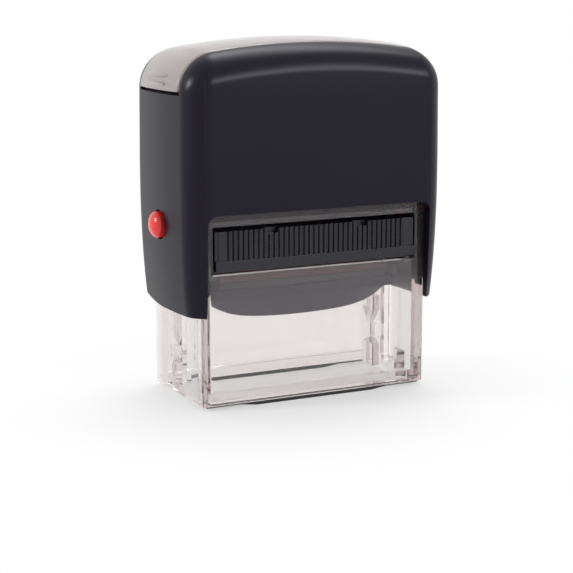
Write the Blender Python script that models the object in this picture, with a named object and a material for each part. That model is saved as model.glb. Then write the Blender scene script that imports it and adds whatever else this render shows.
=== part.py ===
"""Self-inking stamp: a sprung handle that turns a die plate over inside a clear base.

Origin at the middle of the resting plane, +Z up, front at -Y. Lengths below are in millimetres and
become metres where a mesh is made.
"""

import math

import bmesh
import bpy
from mathutils import Vector

MM = 0.001

# Clearances
BOND_GAP = 0.1  # glue line between stacked layers
SEAT_GAP = 0.3  # between pieces that rest on or lie in each other
RUN_GAP = 0.2  # radial, round the axle in the handle
SLIDE_GAP = 0.6  # between the base's ends and the handle
WELD = 0.2  # how far joined shapes reach into each other
OVERCUT = 1.0  # how far a cut runs past the face it opens

# Die plate: the rubber, its foam and the carrier
DIE_LENGTH = 38.0
DIE_WIDTH = 14.0
DIE_SHEET = 1.3
DIE_RELIEF = 1.0
DIE_BORDER_INSET = 0.6
DIE_BORDER_WIDTH = 0.8
DIE_BAR_HEIGHT = 1.7
DIE_BAR_GAP = 1.5
DIE_BAR_LENGTHS = (22.0, 30.0, 26.0)
FOAM_THICKNESS = 1.3
FOAM_CORNER = 0.5
CARRIER_TOP = 0.2  # above the axle's centre
CARRIER_END_MARGIN = 1.5
CARRIER_SIDE_MARGIN = 0.4
CARRIER_EDGE = 2.0
CARRIER_KEEL_WIDTH = 7.0
CARRIER_DEPTH = 6.8  # below the axle at mid length
CARRIER_ARCH = 1.5  # how much the keel rises towards its ends
CARRIER_BOW = 3.0  # how much more it rises close to them
AXLE_RADIUS = 1.9
AXLE_REACH = 1.1  # into the handle's leg
AXLE_END_GAP = 0.2

# Base
FOOT_HEIGHT = 0.7
FOOT_LENGTH = 48.0
FOOT_TREAD = 26.0  # length that stands on the table
FOOT_LIP = 0.25  # thickness of the ends
FOOT_TAPER = 3.5
FOOT_WIDTH = 2.6
FOOT_INSET = 0.3
CAM_THICKNESS = 1.7
CAM_GAP = 0.6
CAM_BACK = 7.0
CAM_FRONT = 2.7
HOOK_LOW = 10.4
HOOK_HIGH = 16.4
WEDGE_HIGH = 6.9
WEDGE_DROP = 1.2
END_WALL = 2.2
BASE_WALL = 1.5
BASE_CORNER = 0.6
SWING_CLEARANCE = 2.74
DECK_THICKNESS = 1.6
SLOT_HEADROOM = 0.9
SLOT_TO_DECK = 0.8
LEDGE_HEIGHT = 2.2
LEDGE_DEPTH = 2.1
RIM_STEP = 0.2  # inner blocks stop this far above the base's rim
RAIL_HEIGHT = 1.2
RECESS_DEPTH = 1.0
RECESS_FRONT = 2.9
RECESS_BACK = 8.0
PORT_LOW = 7.1
PORT_HIGH = 9.8
PORT_WIDTH = 2.0
GUSSET_HIGH = 6.6
GUSSET_WIDTH = 4.2
GUSSET_REACH = 1.5
RIDGE_HIGH = 18.8
RIDGE_WIDTH = 0.5
RIDGE_REACH = 0.6
POST_RADIUS = 3.4
DECK_POST = 4.0
ROOF_POST = 3.5

# Flip: the plate turns as if it rolled on a circle a little smaller than half the die's width
FLIP_LEAD = 1.175
DIE_PRESS_GAP = 0.3
INKING_GAP = 0.3

# Ink cartridge
PAD_END_MARGIN = 1.0  # past the die
PAD_SIDE_MARGIN = 1.5
PAD_HEIGHT = 6.0
PAD_PROUD = 0.2
PAD_CORNER = 0.8
TRAY_END_WALL = 1.9
TRAY_HEIGHT = 8.4
TRAY_SLOT_GAP = 0.4
STRIP_LIFT = 0.6  # the grip strip's lower edge above the tray's rim
STRIP_BAND = 2.0
STRIP_END = 0.7
RIB_PITCH = 1.1
RIB_WIDTH = 0.6
RIB_DEPTH = 0.45
RIB_MARGIN = 1.5
STRIP_PROUD = 0.6  # in front of the base's wall
NOTCH_OFFSET = 10.0
NOTCH_WIDTH = 2.8
NOTCH_DEPTH = 0.8

# Handle
CAP_SIDE_WALL = 3.2
CAP_FRONT_WALL = 1.45
CAP_FRONT_GAP = 1.1
CAP_CORNER = 5.0
CAP_INNER_CORNER = 3.0
CAP_LEG_TAPER = 1.05
CAP_LEG_CURVE = 3  # power of the taper, which comes in late
CAP_FRONT_TAPER = 0.55
CAP_TOP_TAPER = 0.3
CAP_TOP_SIDE_RADIUS = 6.8
CAP_TOP_FRONT_RADIUS = 5.8
CAP_ROOF_SIDE_RADIUS = 6.0
CAP_ROOF_FRONT_RADIUS = 1.0
CAP_CROWN_RADIUS = 150.0
CAP_ROOF_WALL = 2.7
CAP_WAIST_LIFT = 2.5  # above mid height
CAP_SHOULDER_DROP = 5.0  # plain wall ends this far below the top bend
CORNER_DRAW = 0.8  # how much a corner tightens as it rolls over the top
LEAST_CORNER = 0.4
LEG_PRESS_GAP = 0.6
LEG_EDGE_RADIUS = 43.0  # the leg's lower edge, level in front and rising behind the middle
CUT_OUT_SIDE = 0.4
CUT_OUT_CORNER = 2.0
CUT_OUT_ABOVE_BASE = 0.2
BACK_WALL_LIFT = 1.5
SPRING_SPACE = 28.0

# Index window and card
WINDOW_WIDTH = 19.2
WINDOW_THICKNESS = 1.2
WINDOW_BULGE = 0.7
WINDOW_EDGE_ROUND = 0.4
WINDOW_DROP = 9.0  # from the crown to the window's lower end
WINDOW_END_GAP = 1.2
CARD_MARGIN = 0.2
CARD_THICKNESS = 0.3
CARD_SHORT = 0.6

# Lock buttons
BUTTON_RADIUS = 2.65
BUTTON_PROUD = 0.5
BUTTON_DOME = 1.5
DOME_STEPS = 7
BUTTON_BELOW_DECK = 3.0
BUTTON_TRAVEL = 1.2
FLANGE_RADIUS = 3.4
FLANGE_THICKNESS = 0.6
TIP_RADIUS = 1.3
LOCK_HOLE_DEPTH = 1.3

# Spring
WIRE_RADIUS = 0.5
SPRING_RADIUS = 5.0
SPRING_TURNS = 6.5
POINTS_PER_TURN = 9

# Resolution
ARC_STEPS = 5
ROUND_SIDES = 24
CARRIER_STATIONS = 16
CAP_LEVELS = 8
CROWN_STEPS = 12
LEG_EDGE_STEPS = 10
BISECTIONS = 40

# Plate, from the die
DIE_THICKNESS = DIE_SHEET + DIE_RELIEF
DIE_FACE = CARRIER_TOP + FOAM_THICKNESS + DIE_THICKNESS + 2 * BOND_GAP
CARRIER_HALF_LENGTH = DIE_LENGTH / 2 + CARRIER_END_MARGIN
CARRIER_HALF_WIDTH = DIE_WIDTH / 2 + CARRIER_SIDE_MARGIN
SWING_RADIUS = math.hypot(DIE_WIDTH / 2, DIE_FACE)
PRESS_STROKE = math.pi * (DIE_WIDTH / 2 - FLIP_LEAD)
PAD_LENGTH = DIE_LENGTH + 2 * PAD_END_MARGIN
PAD_WIDTH = DIE_WIDTH + 2 * PAD_SIDE_MARGIN

# Heights, from the resting plane up
BASE_BOTTOM = FOOT_HEIGHT + BOND_GAP
AXLE_Z = DIE_PRESS_GAP + DIE_FACE + PRESS_STROKE
PAD_FACE_Z = AXLE_Z + DIE_FACE + INKING_GAP
TRAY_BOTTOM = PAD_FACE_Z + PAD_PROUD
TRAY_TOP = TRAY_BOTTOM + TRAY_HEIGHT
SLOT_LOW = TRAY_BOTTOM - SEAT_GAP
SLOT_HIGH = TRAY_TOP + SLOT_HEADROOM
DECK_UNDER = SLOT_HIGH + SLOT_TO_DECK
BASE_TOP = DECK_UNDER + DECK_THICKNESS
ROOF_Z = BASE_TOP + SPRING_SPACE
WINDOW_FLOOR = WINDOW_THICKNESS + BOND_GAP + CARD_THICKNESS + SEAT_GAP
CROWN_Z = ROOF_Z + CAP_ROOF_WALL + WINDOW_FLOOR
LEG_BOTTOM = PRESS_STROKE + LEG_PRESS_GAP
CUT_OUT_Z = BASE_TOP + CUT_OUT_ABOVE_BASE
BUTTON_Z = BASE_TOP - BUTTON_BELOW_DECK
WINDOW_END_Z = CROWN_Z - WINDOW_DROP

# Half widths, from the middle out
CAM_FACE = CARRIER_HALF_LENGTH + CAM_GAP
BASE_INNER_X = CAM_FACE + CAM_THICKNESS
BASE_X = BASE_INNER_X + END_WALL
CAP_INNER_X = BASE_X + SLIDE_GAP
CAP_X = CAP_INNER_X + CAP_SIDE_WALL
BASE_INNER_Y = SWING_RADIUS + SWING_CLEARANCE
BASE_Y = BASE_INNER_Y + BASE_WALL
CAP_INNER_Y = BASE_Y + CAP_FRONT_GAP
CAP_Y = CAP_INNER_Y + CAP_FRONT_WALL
TRAY_X = PAD_LENGTH / 2 + SEAT_GAP + TRAY_END_WALL
RIB_COUNT = int(2 * (TRAY_X - STRIP_END - RIB_MARGIN) / RIB_PITCH)
SLOT_X = TRAY_X + TRAY_SLOT_GAP
TRAY_BACK = BASE_INNER_Y - SEAT_GAP
STRIP_FRONT = BASE_Y + STRIP_PROUD
GUSSET_MIDDLE = BASE_INNER_Y - LEDGE_DEPTH - SEAT_GAP - GUSSET_WIDTH / 2
CUT_OUT_X = BASE_X - CUT_OUT_SIDE
WAIST_Z = (LEG_BOTTOM + CROWN_Z) / 2 + CAP_WAIST_LIFT


def clear_scene():
    for obj in list(bpy.data.objects):
        bpy.data.objects.remove(obj, do_unlink=True)


def rounded_rectangle(half_x, half_y, radius, steps=ARC_STEPS, side_steps=1):
    """Outline points, anticlockwise, each with its outward direction.

    Back and front are divided into side_steps, so that they can follow a curved top.
    """
    points = []
    for corner in range(4):
        start = corner * math.pi / 2
        side_x = 1 if corner in (0, 3) else -1
        side_y = 1 if corner in (0, 1) else -1
        for step in range(steps + 1):
            angle = start + step * math.pi / 2 / steps
            out = (math.cos(angle), math.sin(angle))
            x = side_x * (half_x - radius) + radius * out[0]
            y = side_y * (half_y - radius) + radius * out[1]
            points.append((x, y, out))
        for step in range(1, side_steps) if corner in (0, 2) else ():
            along = 1 - 2 * step / side_steps
            points.append((side_x * (half_x - radius) * along, side_y * half_y, (0.0, float(side_y))))
    return points


def add_loft(bm, rings, top_point=None):
    """Skin closed rings of equal length; the ends are filled, or the top drawn to a point."""
    rows = [[bm.verts.new(p) for p in ring] for ring in rings]
    count = len(rows[0])
    for low, high in zip(rows, rows[1:]):
        for i in range(count):
            j = (i + 1) % count
            bm.faces.new((low[i], low[j], high[j], high[i]))
    bm.faces.new(list(reversed(rows[0])))
    if top_point is None:
        bm.faces.new(rows[-1])
        return
    tip = bm.verts.new(top_point)
    for i in range(count):
        bm.faces.new((rows[-1][i], rows[-1][(i + 1) % count], tip))


def add_slab(bm, outline, low, high):
    """A flat outline of (x, y) raised from one height to another."""
    add_loft(bm, [[(x, y, z) for x, y in outline] for z in (low, high)])


def add_box(bm, low, high):
    outline = [(low[0], low[1]), (high[0], low[1]), (high[0], high[1]), (low[0], high[1])]
    add_slab(bm, outline, low[2], high[2])


def add_side_prism(bm, outline, low, high):
    """A flat outline of (y, z) drawn along X."""
    add_loft(bm, [[(x, y, z) for y, z in outline] for x in (low, high)])


def add_front_prism(bm, outline, low, high):
    """A flat outline of (x, z) drawn along Y."""
    add_loft(bm, [[(x, y, z) for x, z in outline] for y in (low, high)])


def add_turned(bm, profile, side, y, z, sides=ROUND_SIDES):
    """A round solid along X from (x, radius) pairs; side is -1 on the left."""
    rings = []
    for x, radius in profile:
        turn = [2 * math.pi * i / sides for i in range(sides)]
        rings.append([(side * x, y + radius * math.cos(a), z + radius * math.sin(a)) for a in turn])
    add_loft(bm, rings)


def add_post(bm, radius, low, high, sides=ROUND_SIDES):
    turn = [2 * math.pi * i / sides for i in range(sides)]
    add_slab(bm, [(radius * math.cos(a), radius * math.sin(a)) for a in turn], low, high)


def plain_material(name, colour, roughness, metallic=0.0, alpha=1.0):
    material = bpy.data.materials.new(name)
    material.use_nodes = True
    shader = material.node_tree.nodes["Principled BSDF"]
    shader.inputs["Base Color"].default_value = (*colour, 1.0)
    shader.inputs["Roughness"].default_value = roughness
    shader.inputs["Metallic"].default_value = metallic
    shader.inputs["Alpha"].default_value = alpha
    return material


def pivot(name, x=0.0, y=0.0, z=0.0):
    """An empty on a joint's axis, which the pieces that move there hang on."""
    obj = bpy.data.objects.new(name, None)
    obj.location = (x * MM, y * MM, z * MM)
    bpy.context.scene.collection.objects.link(obj)
    return obj


def finish_mesh(name, bm, parent):
    """Close the drawing: normals out, millimetres to metres about the parent's place."""
    bmesh.ops.recalc_face_normals(bm, faces=bm.faces)
    for vert in bm.verts:
        vert.co = vert.co * MM - Vector(parent.location)
    mesh = bpy.data.meshes.new(name)
    bm.to_mesh(mesh)
    bm.free()
    obj = bpy.data.objects.new(name, mesh)
    obj.parent = parent
    bpy.context.scene.collection.objects.link(obj)
    return obj


def make_piece(name, bm, parent, material):
    obj = finish_mesh(name, bm, parent)
    obj.data.materials.append(material)
    obj.data.shade_smooth()
    obj.data.set_sharp_from_angle(angle=math.radians(30))
    return obj


def shape_with(obj, bm, operation, label):
    """Cut a helper shape out of a piece, or join it on."""
    helper = finish_mesh(f"{obj.name}_{label}", bm, obj.parent)
    helper.hide_render = True
    helper.display_type = "WIRE"
    modifier = obj.modifiers.new(label, "BOOLEAN")
    modifier.operation = operation
    modifier.solver = "EXACT"
    modifier.object = helper


def cut(obj, bm, label):
    shape_with(obj, bm, "DIFFERENCE", label)


def join(obj, bm, label):
    shape_with(obj, bm, "UNION", label)


def plain_outline(half_x, half_y, radius):
    return [(x, y) for x, y, _ in rounded_rectangle(half_x, half_y, radius)]


def slot_outline(half_width, low, high, steps=8):
    """An upright slot in (y, z) with round ends; low and high are the end circles' centres."""
    points = []
    for centre, start in ((high, 0.0), (low, math.pi)):
        for step in range(steps + 1):
            angle = start + step * math.pi / steps
            points.append((half_width * math.cos(angle), centre + half_width * math.sin(angle)))
    return points


def build_base(parent, material):
    bm = bmesh.new()
    add_slab(bm, plain_outline(BASE_X, BASE_Y, BASE_CORNER), BASE_BOTTOM, BASE_TOP)
    base = make_piece("base_frame", bm, parent, material)

    bm = bmesh.new()
    add_slab(bm, plain_outline(BASE_INNER_X, BASE_INNER_Y, BASE_CORNER / 2),
             BASE_BOTTOM - OVERCUT, DECK_UNDER)
    cut(base, bm, "well")

    bm = bmesh.new()
    add_post(bm, POST_RADIUS, BASE_TOP - WELD, BASE_TOP + DECK_POST)
    for side in (-1, 1):
        ledge = sorted((side * (BASE_INNER_Y + WELD), side * (BASE_INNER_Y - LEDGE_DEPTH)))
        add_box(bm, (-BASE_INNER_X - WELD, ledge[0], BASE_BOTTOM + RIM_STEP),
                (BASE_INNER_X + WELD, ledge[1], BASE_BOTTOM + LEDGE_HEIGHT))
        add_end_blocks(bm, side)
    join(base, bm, "blocks")

    bm = bmesh.new()
    axle_room = AXLE_RADIUS + SEAT_GAP
    add_side_prism(bm, slot_outline(axle_room, AXLE_Z - PRESS_STROKE, AXLE_Z), -CAP_X, CAP_X)
    cut(base, bm, "axle_slots")

    bm = bmesh.new()
    add_box(bm, (-SLOT_X, -BASE_Y - OVERCUT, SLOT_LOW), (SLOT_X, -BASE_INNER_Y + OVERCUT, SLOT_HIGH))
    cut(base, bm, "pad_slot")

    bm = bmesh.new()
    for side in (-1, 1):
        hole = TIP_RADIUS + SEAT_GAP
        add_turned(bm, [(BASE_X - LOCK_HOLE_DEPTH, hole), (BASE_X + OVERCUT, hole)], side, 0.0, BUTTON_Z)
        recess = sorted((side * (BASE_X - RECESS_DEPTH), side * (BASE_X + OVERCUT)))
        add_box(bm, (recess[0], RECESS_FRONT, BASE_BOTTOM - OVERCUT), (recess[1], RECESS_BACK, AXLE_Z))
    cut(base, bm, "outer_recesses")

    bm = bmesh.new()
    port_middle = (RECESS_FRONT + RECESS_BACK) / 2
    for side in (-1, 1):
        port = sorted((side * (CAM_FACE - OVERCUT), side * (BASE_X + OVERCUT)))
        add_box(bm, (port[0], port_middle - PORT_WIDTH / 2, PORT_LOW),
                (port[1], port_middle + PORT_WIDTH / 2, PORT_HIGH))
    cut(base, bm, "ports")
    return base


def add_end_blocks(bm, side):
    """Inside one end wall: cam hook and wedge, pad rail, front gusset and its thin ridge."""
    wall = side * (BASE_INNER_X + WELD)
    face = side * CAM_FACE
    low, high = sorted((wall, face))
    rim = BASE_BOTTOM + RIM_STEP
    middle = (CAM_FRONT + CAM_BACK) / 2
    hook_step = (HOOK_HIGH - HOOK_LOW) / 2
    hook = [(CAM_FRONT, HOOK_HIGH), (CAM_FRONT, HOOK_LOW + hook_step), (middle, HOOK_LOW),
            (CAM_BACK, HOOK_LOW + hook_step), (CAM_BACK, HOOK_HIGH)]
    add_side_prism(bm, hook, low, high)
    wedge = [(CAM_FRONT, rim), (CAM_BACK, rim), (CAM_BACK, WEDGE_HIGH - WEDGE_DROP), (middle, WEDGE_HIGH),
             (CAM_FRONT, WEDGE_HIGH - WEDGE_DROP)]
    add_side_prism(bm, wedge, low, high)
    add_box(bm, (low, -BASE_INNER_Y + BASE_CORNER, SLOT_LOW - RAIL_HEIGHT),
            (high, BASE_INNER_Y - BASE_CORNER, SLOT_LOW))
    tip = side * (BASE_INNER_X - GUSSET_REACH)
    gusset = [(wall, -GUSSET_MIDDLE - GUSSET_WIDTH / 2), (tip, -GUSSET_MIDDLE),
              (wall, -GUSSET_MIDDLE + GUSSET_WIDTH / 2)]
    add_slab(bm, gusset, rim, GUSSET_HIGH)
    ridge = sorted((wall, side * (BASE_INNER_X - RIDGE_REACH)))
    add_box(bm, (ridge[0], -GUSSET_MIDDLE - RIDGE_WIDTH / 2, GUSSET_HIGH + RIM_STEP),
            (ridge[1], -GUSSET_MIDDLE + RIDGE_WIDTH / 2, RIDGE_HIGH))


def build_foot(name, side, parent, material):
    """Rubber strip under one long wall, thick along its tread and thin at its ends."""
    half, tread = FOOT_LENGTH / 2, FOOT_TREAD / 2
    lip = FOOT_HEIGHT - FOOT_LIP
    outline = [(-tread, 0.0), (tread, 0.0), (tread + FOOT_TAPER, lip), (half, lip), (half, FOOT_HEIGHT),
               (-half, FOOT_HEIGHT), (-half, lip), (-tread - FOOT_TAPER, lip)]
    outer = side * (BASE_Y - FOOT_INSET)
    inner = side * (BASE_Y - FOOT_INSET - FOOT_WIDTH)
    bm = bmesh.new()
    add_front_prism(bm, outline, min(outer, inner), max(outer, inner))
    make_piece(name, bm, parent, material)


def comb_outline():
    """Plan of the grip strip: upright ribs along its front, plain ends."""
    back = -BASE_Y + WELD
    root = -STRIP_FRONT + RIB_DEPTH
    half = TRAY_X - STRIP_END
    outline = [(half, back), (-half, back), (-half, root)]
    first = -(RIB_COUNT - 1) * RIB_PITCH / 2
    for rib in range(RIB_COUNT):
        middle = first + rib * RIB_PITCH
        left, right = middle - RIB_WIDTH / 2, middle + RIB_WIDTH / 2
        outline += [(left, root), (left, -STRIP_FRONT), (right, -STRIP_FRONT), (right, root)]
    return outline + [(half, root)]


def build_tray(parent, material):
    strip_low = TRAY_BOTTOM + STRIP_LIFT
    bm = bmesh.new()
    add_box(bm, (-TRAY_X, -BASE_Y, TRAY_BOTTOM), (TRAY_X, TRAY_BACK, TRAY_TOP))
    tray = make_piece("pad_tray", bm, parent, material)

    bm = bmesh.new()
    room = plain_outline(PAD_LENGTH / 2 + SEAT_GAP, PAD_WIDTH / 2 + SEAT_GAP, PAD_CORNER + SEAT_GAP)
    add_slab(bm, room, TRAY_BOTTOM - OVERCUT, PAD_FACE_Z + PAD_HEIGHT + SEAT_GAP)
    cut(tray, bm, "pad_room")

    bm = bmesh.new()
    add_box(bm, (-TRAY_X - OVERCUT, -BASE_Y - OVERCUT, TRAY_BOTTOM - OVERCUT),
            (TRAY_X + OVERCUT, -BASE_INNER_Y, strip_low))
    cut(tray, bm, "lip")

    bm = bmesh.new()
    add_slab(bm, comb_outline(), strip_low + STRIP_BAND, TRAY_TOP)
    join(tray, bm, "ribs")

    bm = bmesh.new()
    add_box(bm, (-TRAY_X, -STRIP_FRONT, strip_low), (TRAY_X, -BASE_Y + WELD, strip_low + STRIP_BAND))
    join(tray, bm, "band")

    bm = bmesh.new()
    for side in (-1, 1):
        middle = side * NOTCH_OFFSET
        add_box(bm, (middle - NOTCH_WIDTH / 2, -STRIP_FRONT - OVERCUT, TRAY_TOP - NOTCH_DEPTH),
                (middle + NOTCH_WIDTH / 2, -BASE_Y + WELD, TRAY_TOP + OVERCUT))
    cut(tray, bm, "notches")


def build_pad(parent, material):
    bm = bmesh.new()
    outline = plain_outline(PAD_LENGTH / 2, PAD_WIDTH / 2, PAD_CORNER)
    add_slab(bm, outline, PAD_FACE_Z, PAD_FACE_Z + PAD_HEIGHT)
    make_piece("ink_pad", bm, parent, material)


def cap_half_x(z):
    """The handle is widest at its waist and draws in towards the legs and the top."""
    if z < WAIST_Z:
        return CAP_X - CAP_LEG_TAPER * ((WAIST_Z - z) / (WAIST_Z - LEG_BOTTOM)) ** CAP_LEG_CURVE
    return CAP_X - CAP_TOP_TAPER * (z - WAIST_Z) / (CROWN_Z - WAIST_Z)


def cap_half_y(z):
    below = max(0.0, CUT_OUT_Z - z) / (CUT_OUT_Z - LEG_BOTTOM)
    return CAP_Y - CAP_FRONT_TAPER * below


def crown(x, top=CROWN_Z, radius=CAP_CROWN_RADIUS):
    return top - x * x / (2 * radius)


def leg_edge(y):
    return LEG_BOTTOM + max(0.0, y) ** 2 / (2 * LEG_EDGE_RADIUS)


def domed_rings(half_x, half_y, corner, side_radius, front_radius, height, steps=6, side_steps=1):
    """Rings that roll from an upright wall over its top edge; height(x) is the top surface."""
    rings = []
    for step in range(steps + 1):
        angle = step * math.pi / 2 / steps
        draw, rise = 1 - math.cos(angle), 1 - math.sin(angle)
        corner_now = max(corner - min(side_radius, front_radius) * draw * CORNER_DRAW, LEAST_CORNER)
        ring = []
        outline = rounded_rectangle(half_x - side_radius * draw, half_y - front_radius * draw, corner_now,
                                    side_steps=side_steps)
        for x, y, out in outline:
            radius = side_radius * out[0] ** 2 + front_radius * out[1] ** 2
            ring.append((x, y, height(x) - radius * rise))
        rings.append(ring)
    return rings


def shrink(ring, factor, height):
    return [(x * factor, y * factor, height(x * factor)) for x, y, _ in ring]


def build_cap(parent, material):
    wall_top = CROWN_Z - CAP_TOP_SIDE_RADIUS - CAP_SHOULDER_DROP
    wall_low = LEG_BOTTOM - OVERCUT
    rings = []
    for i in range(CAP_LEVELS + 1):
        z = wall_low + (wall_top - wall_low) * i / CAP_LEVELS
        outline = rounded_rectangle(cap_half_x(z), cap_half_y(z), CAP_CORNER, side_steps=CROWN_STEPS)
        rings.append([(x, y, z) for x, y, _ in outline])
    top_x = cap_half_x(CROWN_Z - CAP_TOP_SIDE_RADIUS)
    rings += domed_rings(top_x, CAP_Y, CAP_CORNER, CAP_TOP_SIDE_RADIUS, CAP_TOP_FRONT_RADIUS, crown,
                         side_steps=CROWN_STEPS)
    top = rings[-1]
    rings += [shrink(top, factor, crown) for factor in (0.75, 0.5, 0.25)]
    bm = bmesh.new()
    add_loft(bm, rings, (0.0, 0.0, CROWN_Z))
    cap = make_piece("cap_shell", bm, parent, material)

    bm = bmesh.new()
    inside = rounded_rectangle(CAP_INNER_X, CAP_INNER_Y, CAP_INNER_CORNER)
    floor = [[(x, y, wall_low - OVERCUT) for x, y, _ in inside]]
    roof = domed_rings(CAP_INNER_X, CAP_INNER_Y, CAP_INNER_CORNER, CAP_ROOF_SIDE_RADIUS,
                       CAP_ROOF_FRONT_RADIUS, lambda x: ROOF_Z, 4)
    add_loft(bm, floor + roof)
    cut(cap, bm, "hollow")

    bm = bmesh.new()
    middle = (CUT_OUT_Z - CROWN_Z) / 2
    opening = plain_outline(CUT_OUT_X, (CUT_OUT_Z + CROWN_Z) / 2, CUT_OUT_CORNER)
    add_front_prism(bm, [(x, z + middle) for x, z in opening], -CAP_Y - OVERCUT, -BASE_Y)
    cut(cap, bm, "front_cut_out")

    bm = bmesh.new()
    reach = CAP_Y + OVERCUT
    curve = [reach * i / LEG_EDGE_STEPS for i in range(LEG_EDGE_STEPS, -1, -1)] + [-reach]
    below = [(-reach, wall_low - OVERCUT), (reach, wall_low - OVERCUT)] + [(y, leg_edge(y)) for y in curve]
    add_side_prism(bm, below, -CAP_X - OVERCUT, CAP_X + OVERCUT)
    cut(cap, bm, "leg_edges")

    bm = bmesh.new()
    back_edge = leg_edge(CAP_Y) + BACK_WALL_LIFT
    add_box(bm, (-CUT_OUT_X, BASE_Y, wall_low - OVERCUT), (CUT_OUT_X, reach, back_edge))
    cut(cap, bm, "back_edge")

    bm = bmesh.new()
    far, high = CAP_X + OVERCUT, CROWN_Z + OVERCUT
    low = WINDOW_END_Z - WINDOW_END_GAP
    room = WINDOW_WIDTH / 2 + SEAT_GAP
    around = [(far, low), (far, high), (-far, high), (-far, low)]
    add_front_prism(bm, arch(WINDOW_FLOOR, low) + around, -room, room)
    cut(cap, bm, "window_seat")

    bm = bmesh.new()
    bore = AXLE_RADIUS + RUN_GAP
    bore_end = CAP_INNER_X + AXLE_REACH + AXLE_END_GAP
    for side in (-1, 1):
        add_turned(bm, [(CAP_INNER_X - OVERCUT, bore), (bore_end, bore)], side, 0.0, AXLE_Z)
        hole = BUTTON_RADIUS + SEAT_GAP
        room = FLANGE_RADIUS + SEAT_GAP
        shoulder = button_flange_out() + SEAT_GAP
        add_turned(bm, [(CAP_INNER_X - OVERCUT, room), (shoulder, room), (shoulder, hole),
                        (CAP_X + OVERCUT, hole)], side, 0.0, BUTTON_Z)
    cut(cap, bm, "bores")

    bm = bmesh.new()
    add_post(bm, POST_RADIUS, ROOF_Z - ROOF_POST, ROOF_Z + WELD)
    join(cap, bm, "roof_post")


def arch(depth, end_z, steps=8, crown_steps=12):
    """The handle's upright outline (x, z) over the top, drawn in by a depth, from left to right.

    Its ends lie at one height on the bends at the top corners.
    """
    side_x = cap_half_x(CROWN_Z - CAP_TOP_SIDE_RADIUS) - depth
    radius = CAP_TOP_SIDE_RADIUS - depth

    def bend(angle):
        x = side_x - radius * (1 - math.cos(angle))
        return x, crown(x) - depth - radius * (1 - math.sin(angle))

    below, above = 0.0, math.pi / 2
    for _ in range(BISECTIONS):
        angle = (below + above) / 2
        below, above = (angle, above) if bend(angle)[1] < end_z else (below, angle)
    half = [bend(above + (math.pi / 2 - above) * step / steps) for step in range(steps + 1)]
    last = half[-1][0]
    for step in range(1, crown_steps // 2):
        x = last * (1 - 2 * step / crown_steps)
        half.append((x, crown(x) - depth))
    return [(-x, z) for x, z in half] + [(0.0, CROWN_Z - depth)] + list(reversed(half))


def add_arch_strip(bm, stations, end_z):
    """A strip bent over the handle's top; stations are (y, outer depth, inner depth)."""
    outer = [[bm.verts.new((x, y, z)) for x, z in arch(out, end_z)] for y, out, _ in stations]
    inner = [[bm.verts.new((x, y, z)) for x, z in arch(deep, end_z)] for y, _, deep in stations]
    count = len(outer[0])
    for a in range(len(stations) - 1):
        for i in range(count - 1):
            bm.faces.new((outer[a][i], outer[a + 1][i], outer[a + 1][i + 1], outer[a][i + 1]))
            bm.faces.new((inner[a][i], inner[a][i + 1], inner[a + 1][i + 1], inner[a + 1][i]))
        for i in (0, count - 1):
            bm.faces.new((outer[a][i], inner[a][i], inner[a + 1][i], outer[a + 1][i]))
    for a in (0, len(stations) - 1):
        for i in range(count - 1):
            bm.faces.new((outer[a][i], outer[a][i + 1], inner[a][i + 1], inner[a][i]))


def build_window(parent, material):
    half = WINDOW_WIDTH / 2
    stations = []
    for share in (-1.0, -0.95, -0.7, -0.35, 0.0, 0.35, 0.7, 0.95, 1.0):
        edge = WINDOW_EDGE_ROUND if abs(share) == 1.0 else 0.0
        stations.append((share * half, edge - WINDOW_BULGE * (1 - share * share), WINDOW_THICKNESS))
    bm = bmesh.new()
    add_arch_strip(bm, stations, WINDOW_END_Z)
    make_piece("index_window", bm, parent, material)


def build_card(parent, material):
    outer = WINDOW_THICKNESS + BOND_GAP
    inner = outer + CARD_THICKNESS
    half = WINDOW_WIDTH / 2 - CARD_MARGIN
    bm = bmesh.new()
    add_arch_strip(bm, [(-half, outer, inner), (half, outer, inner)], WINDOW_END_Z + CARD_SHORT)
    make_piece("index_card", bm, parent, material)


def button_flange_out():
    return BASE_X + SEAT_GAP + BUTTON_TRAVEL + FLANGE_THICKNESS


def build_button(name, side, parent, material):
    """Turned button: lock tip, flange behind the wall, stem and a domed face outside."""
    flange_out = button_flange_out()
    flange_in = flange_out - FLANGE_THICKNESS
    face = cap_half_x(BUTTON_Z) + BUTTON_PROUD
    profile = [(BASE_X + SEAT_GAP, TIP_RADIUS), (flange_in, TIP_RADIUS), (flange_in, FLANGE_RADIUS),
               (flange_out, FLANGE_RADIUS), (flange_out, BUTTON_RADIUS), (face, BUTTON_RADIUS)]
    for step in range(1, DOME_STEPS):
        angle = step * math.pi / 2 / DOME_STEPS
        profile.append((face + BUTTON_DOME * math.sin(angle), BUTTON_RADIUS * math.cos(angle)))
    bm = bmesh.new()
    add_turned(bm, profile, side, 0.0, BUTTON_Z)
    make_piece(name, bm, parent, material)


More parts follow.
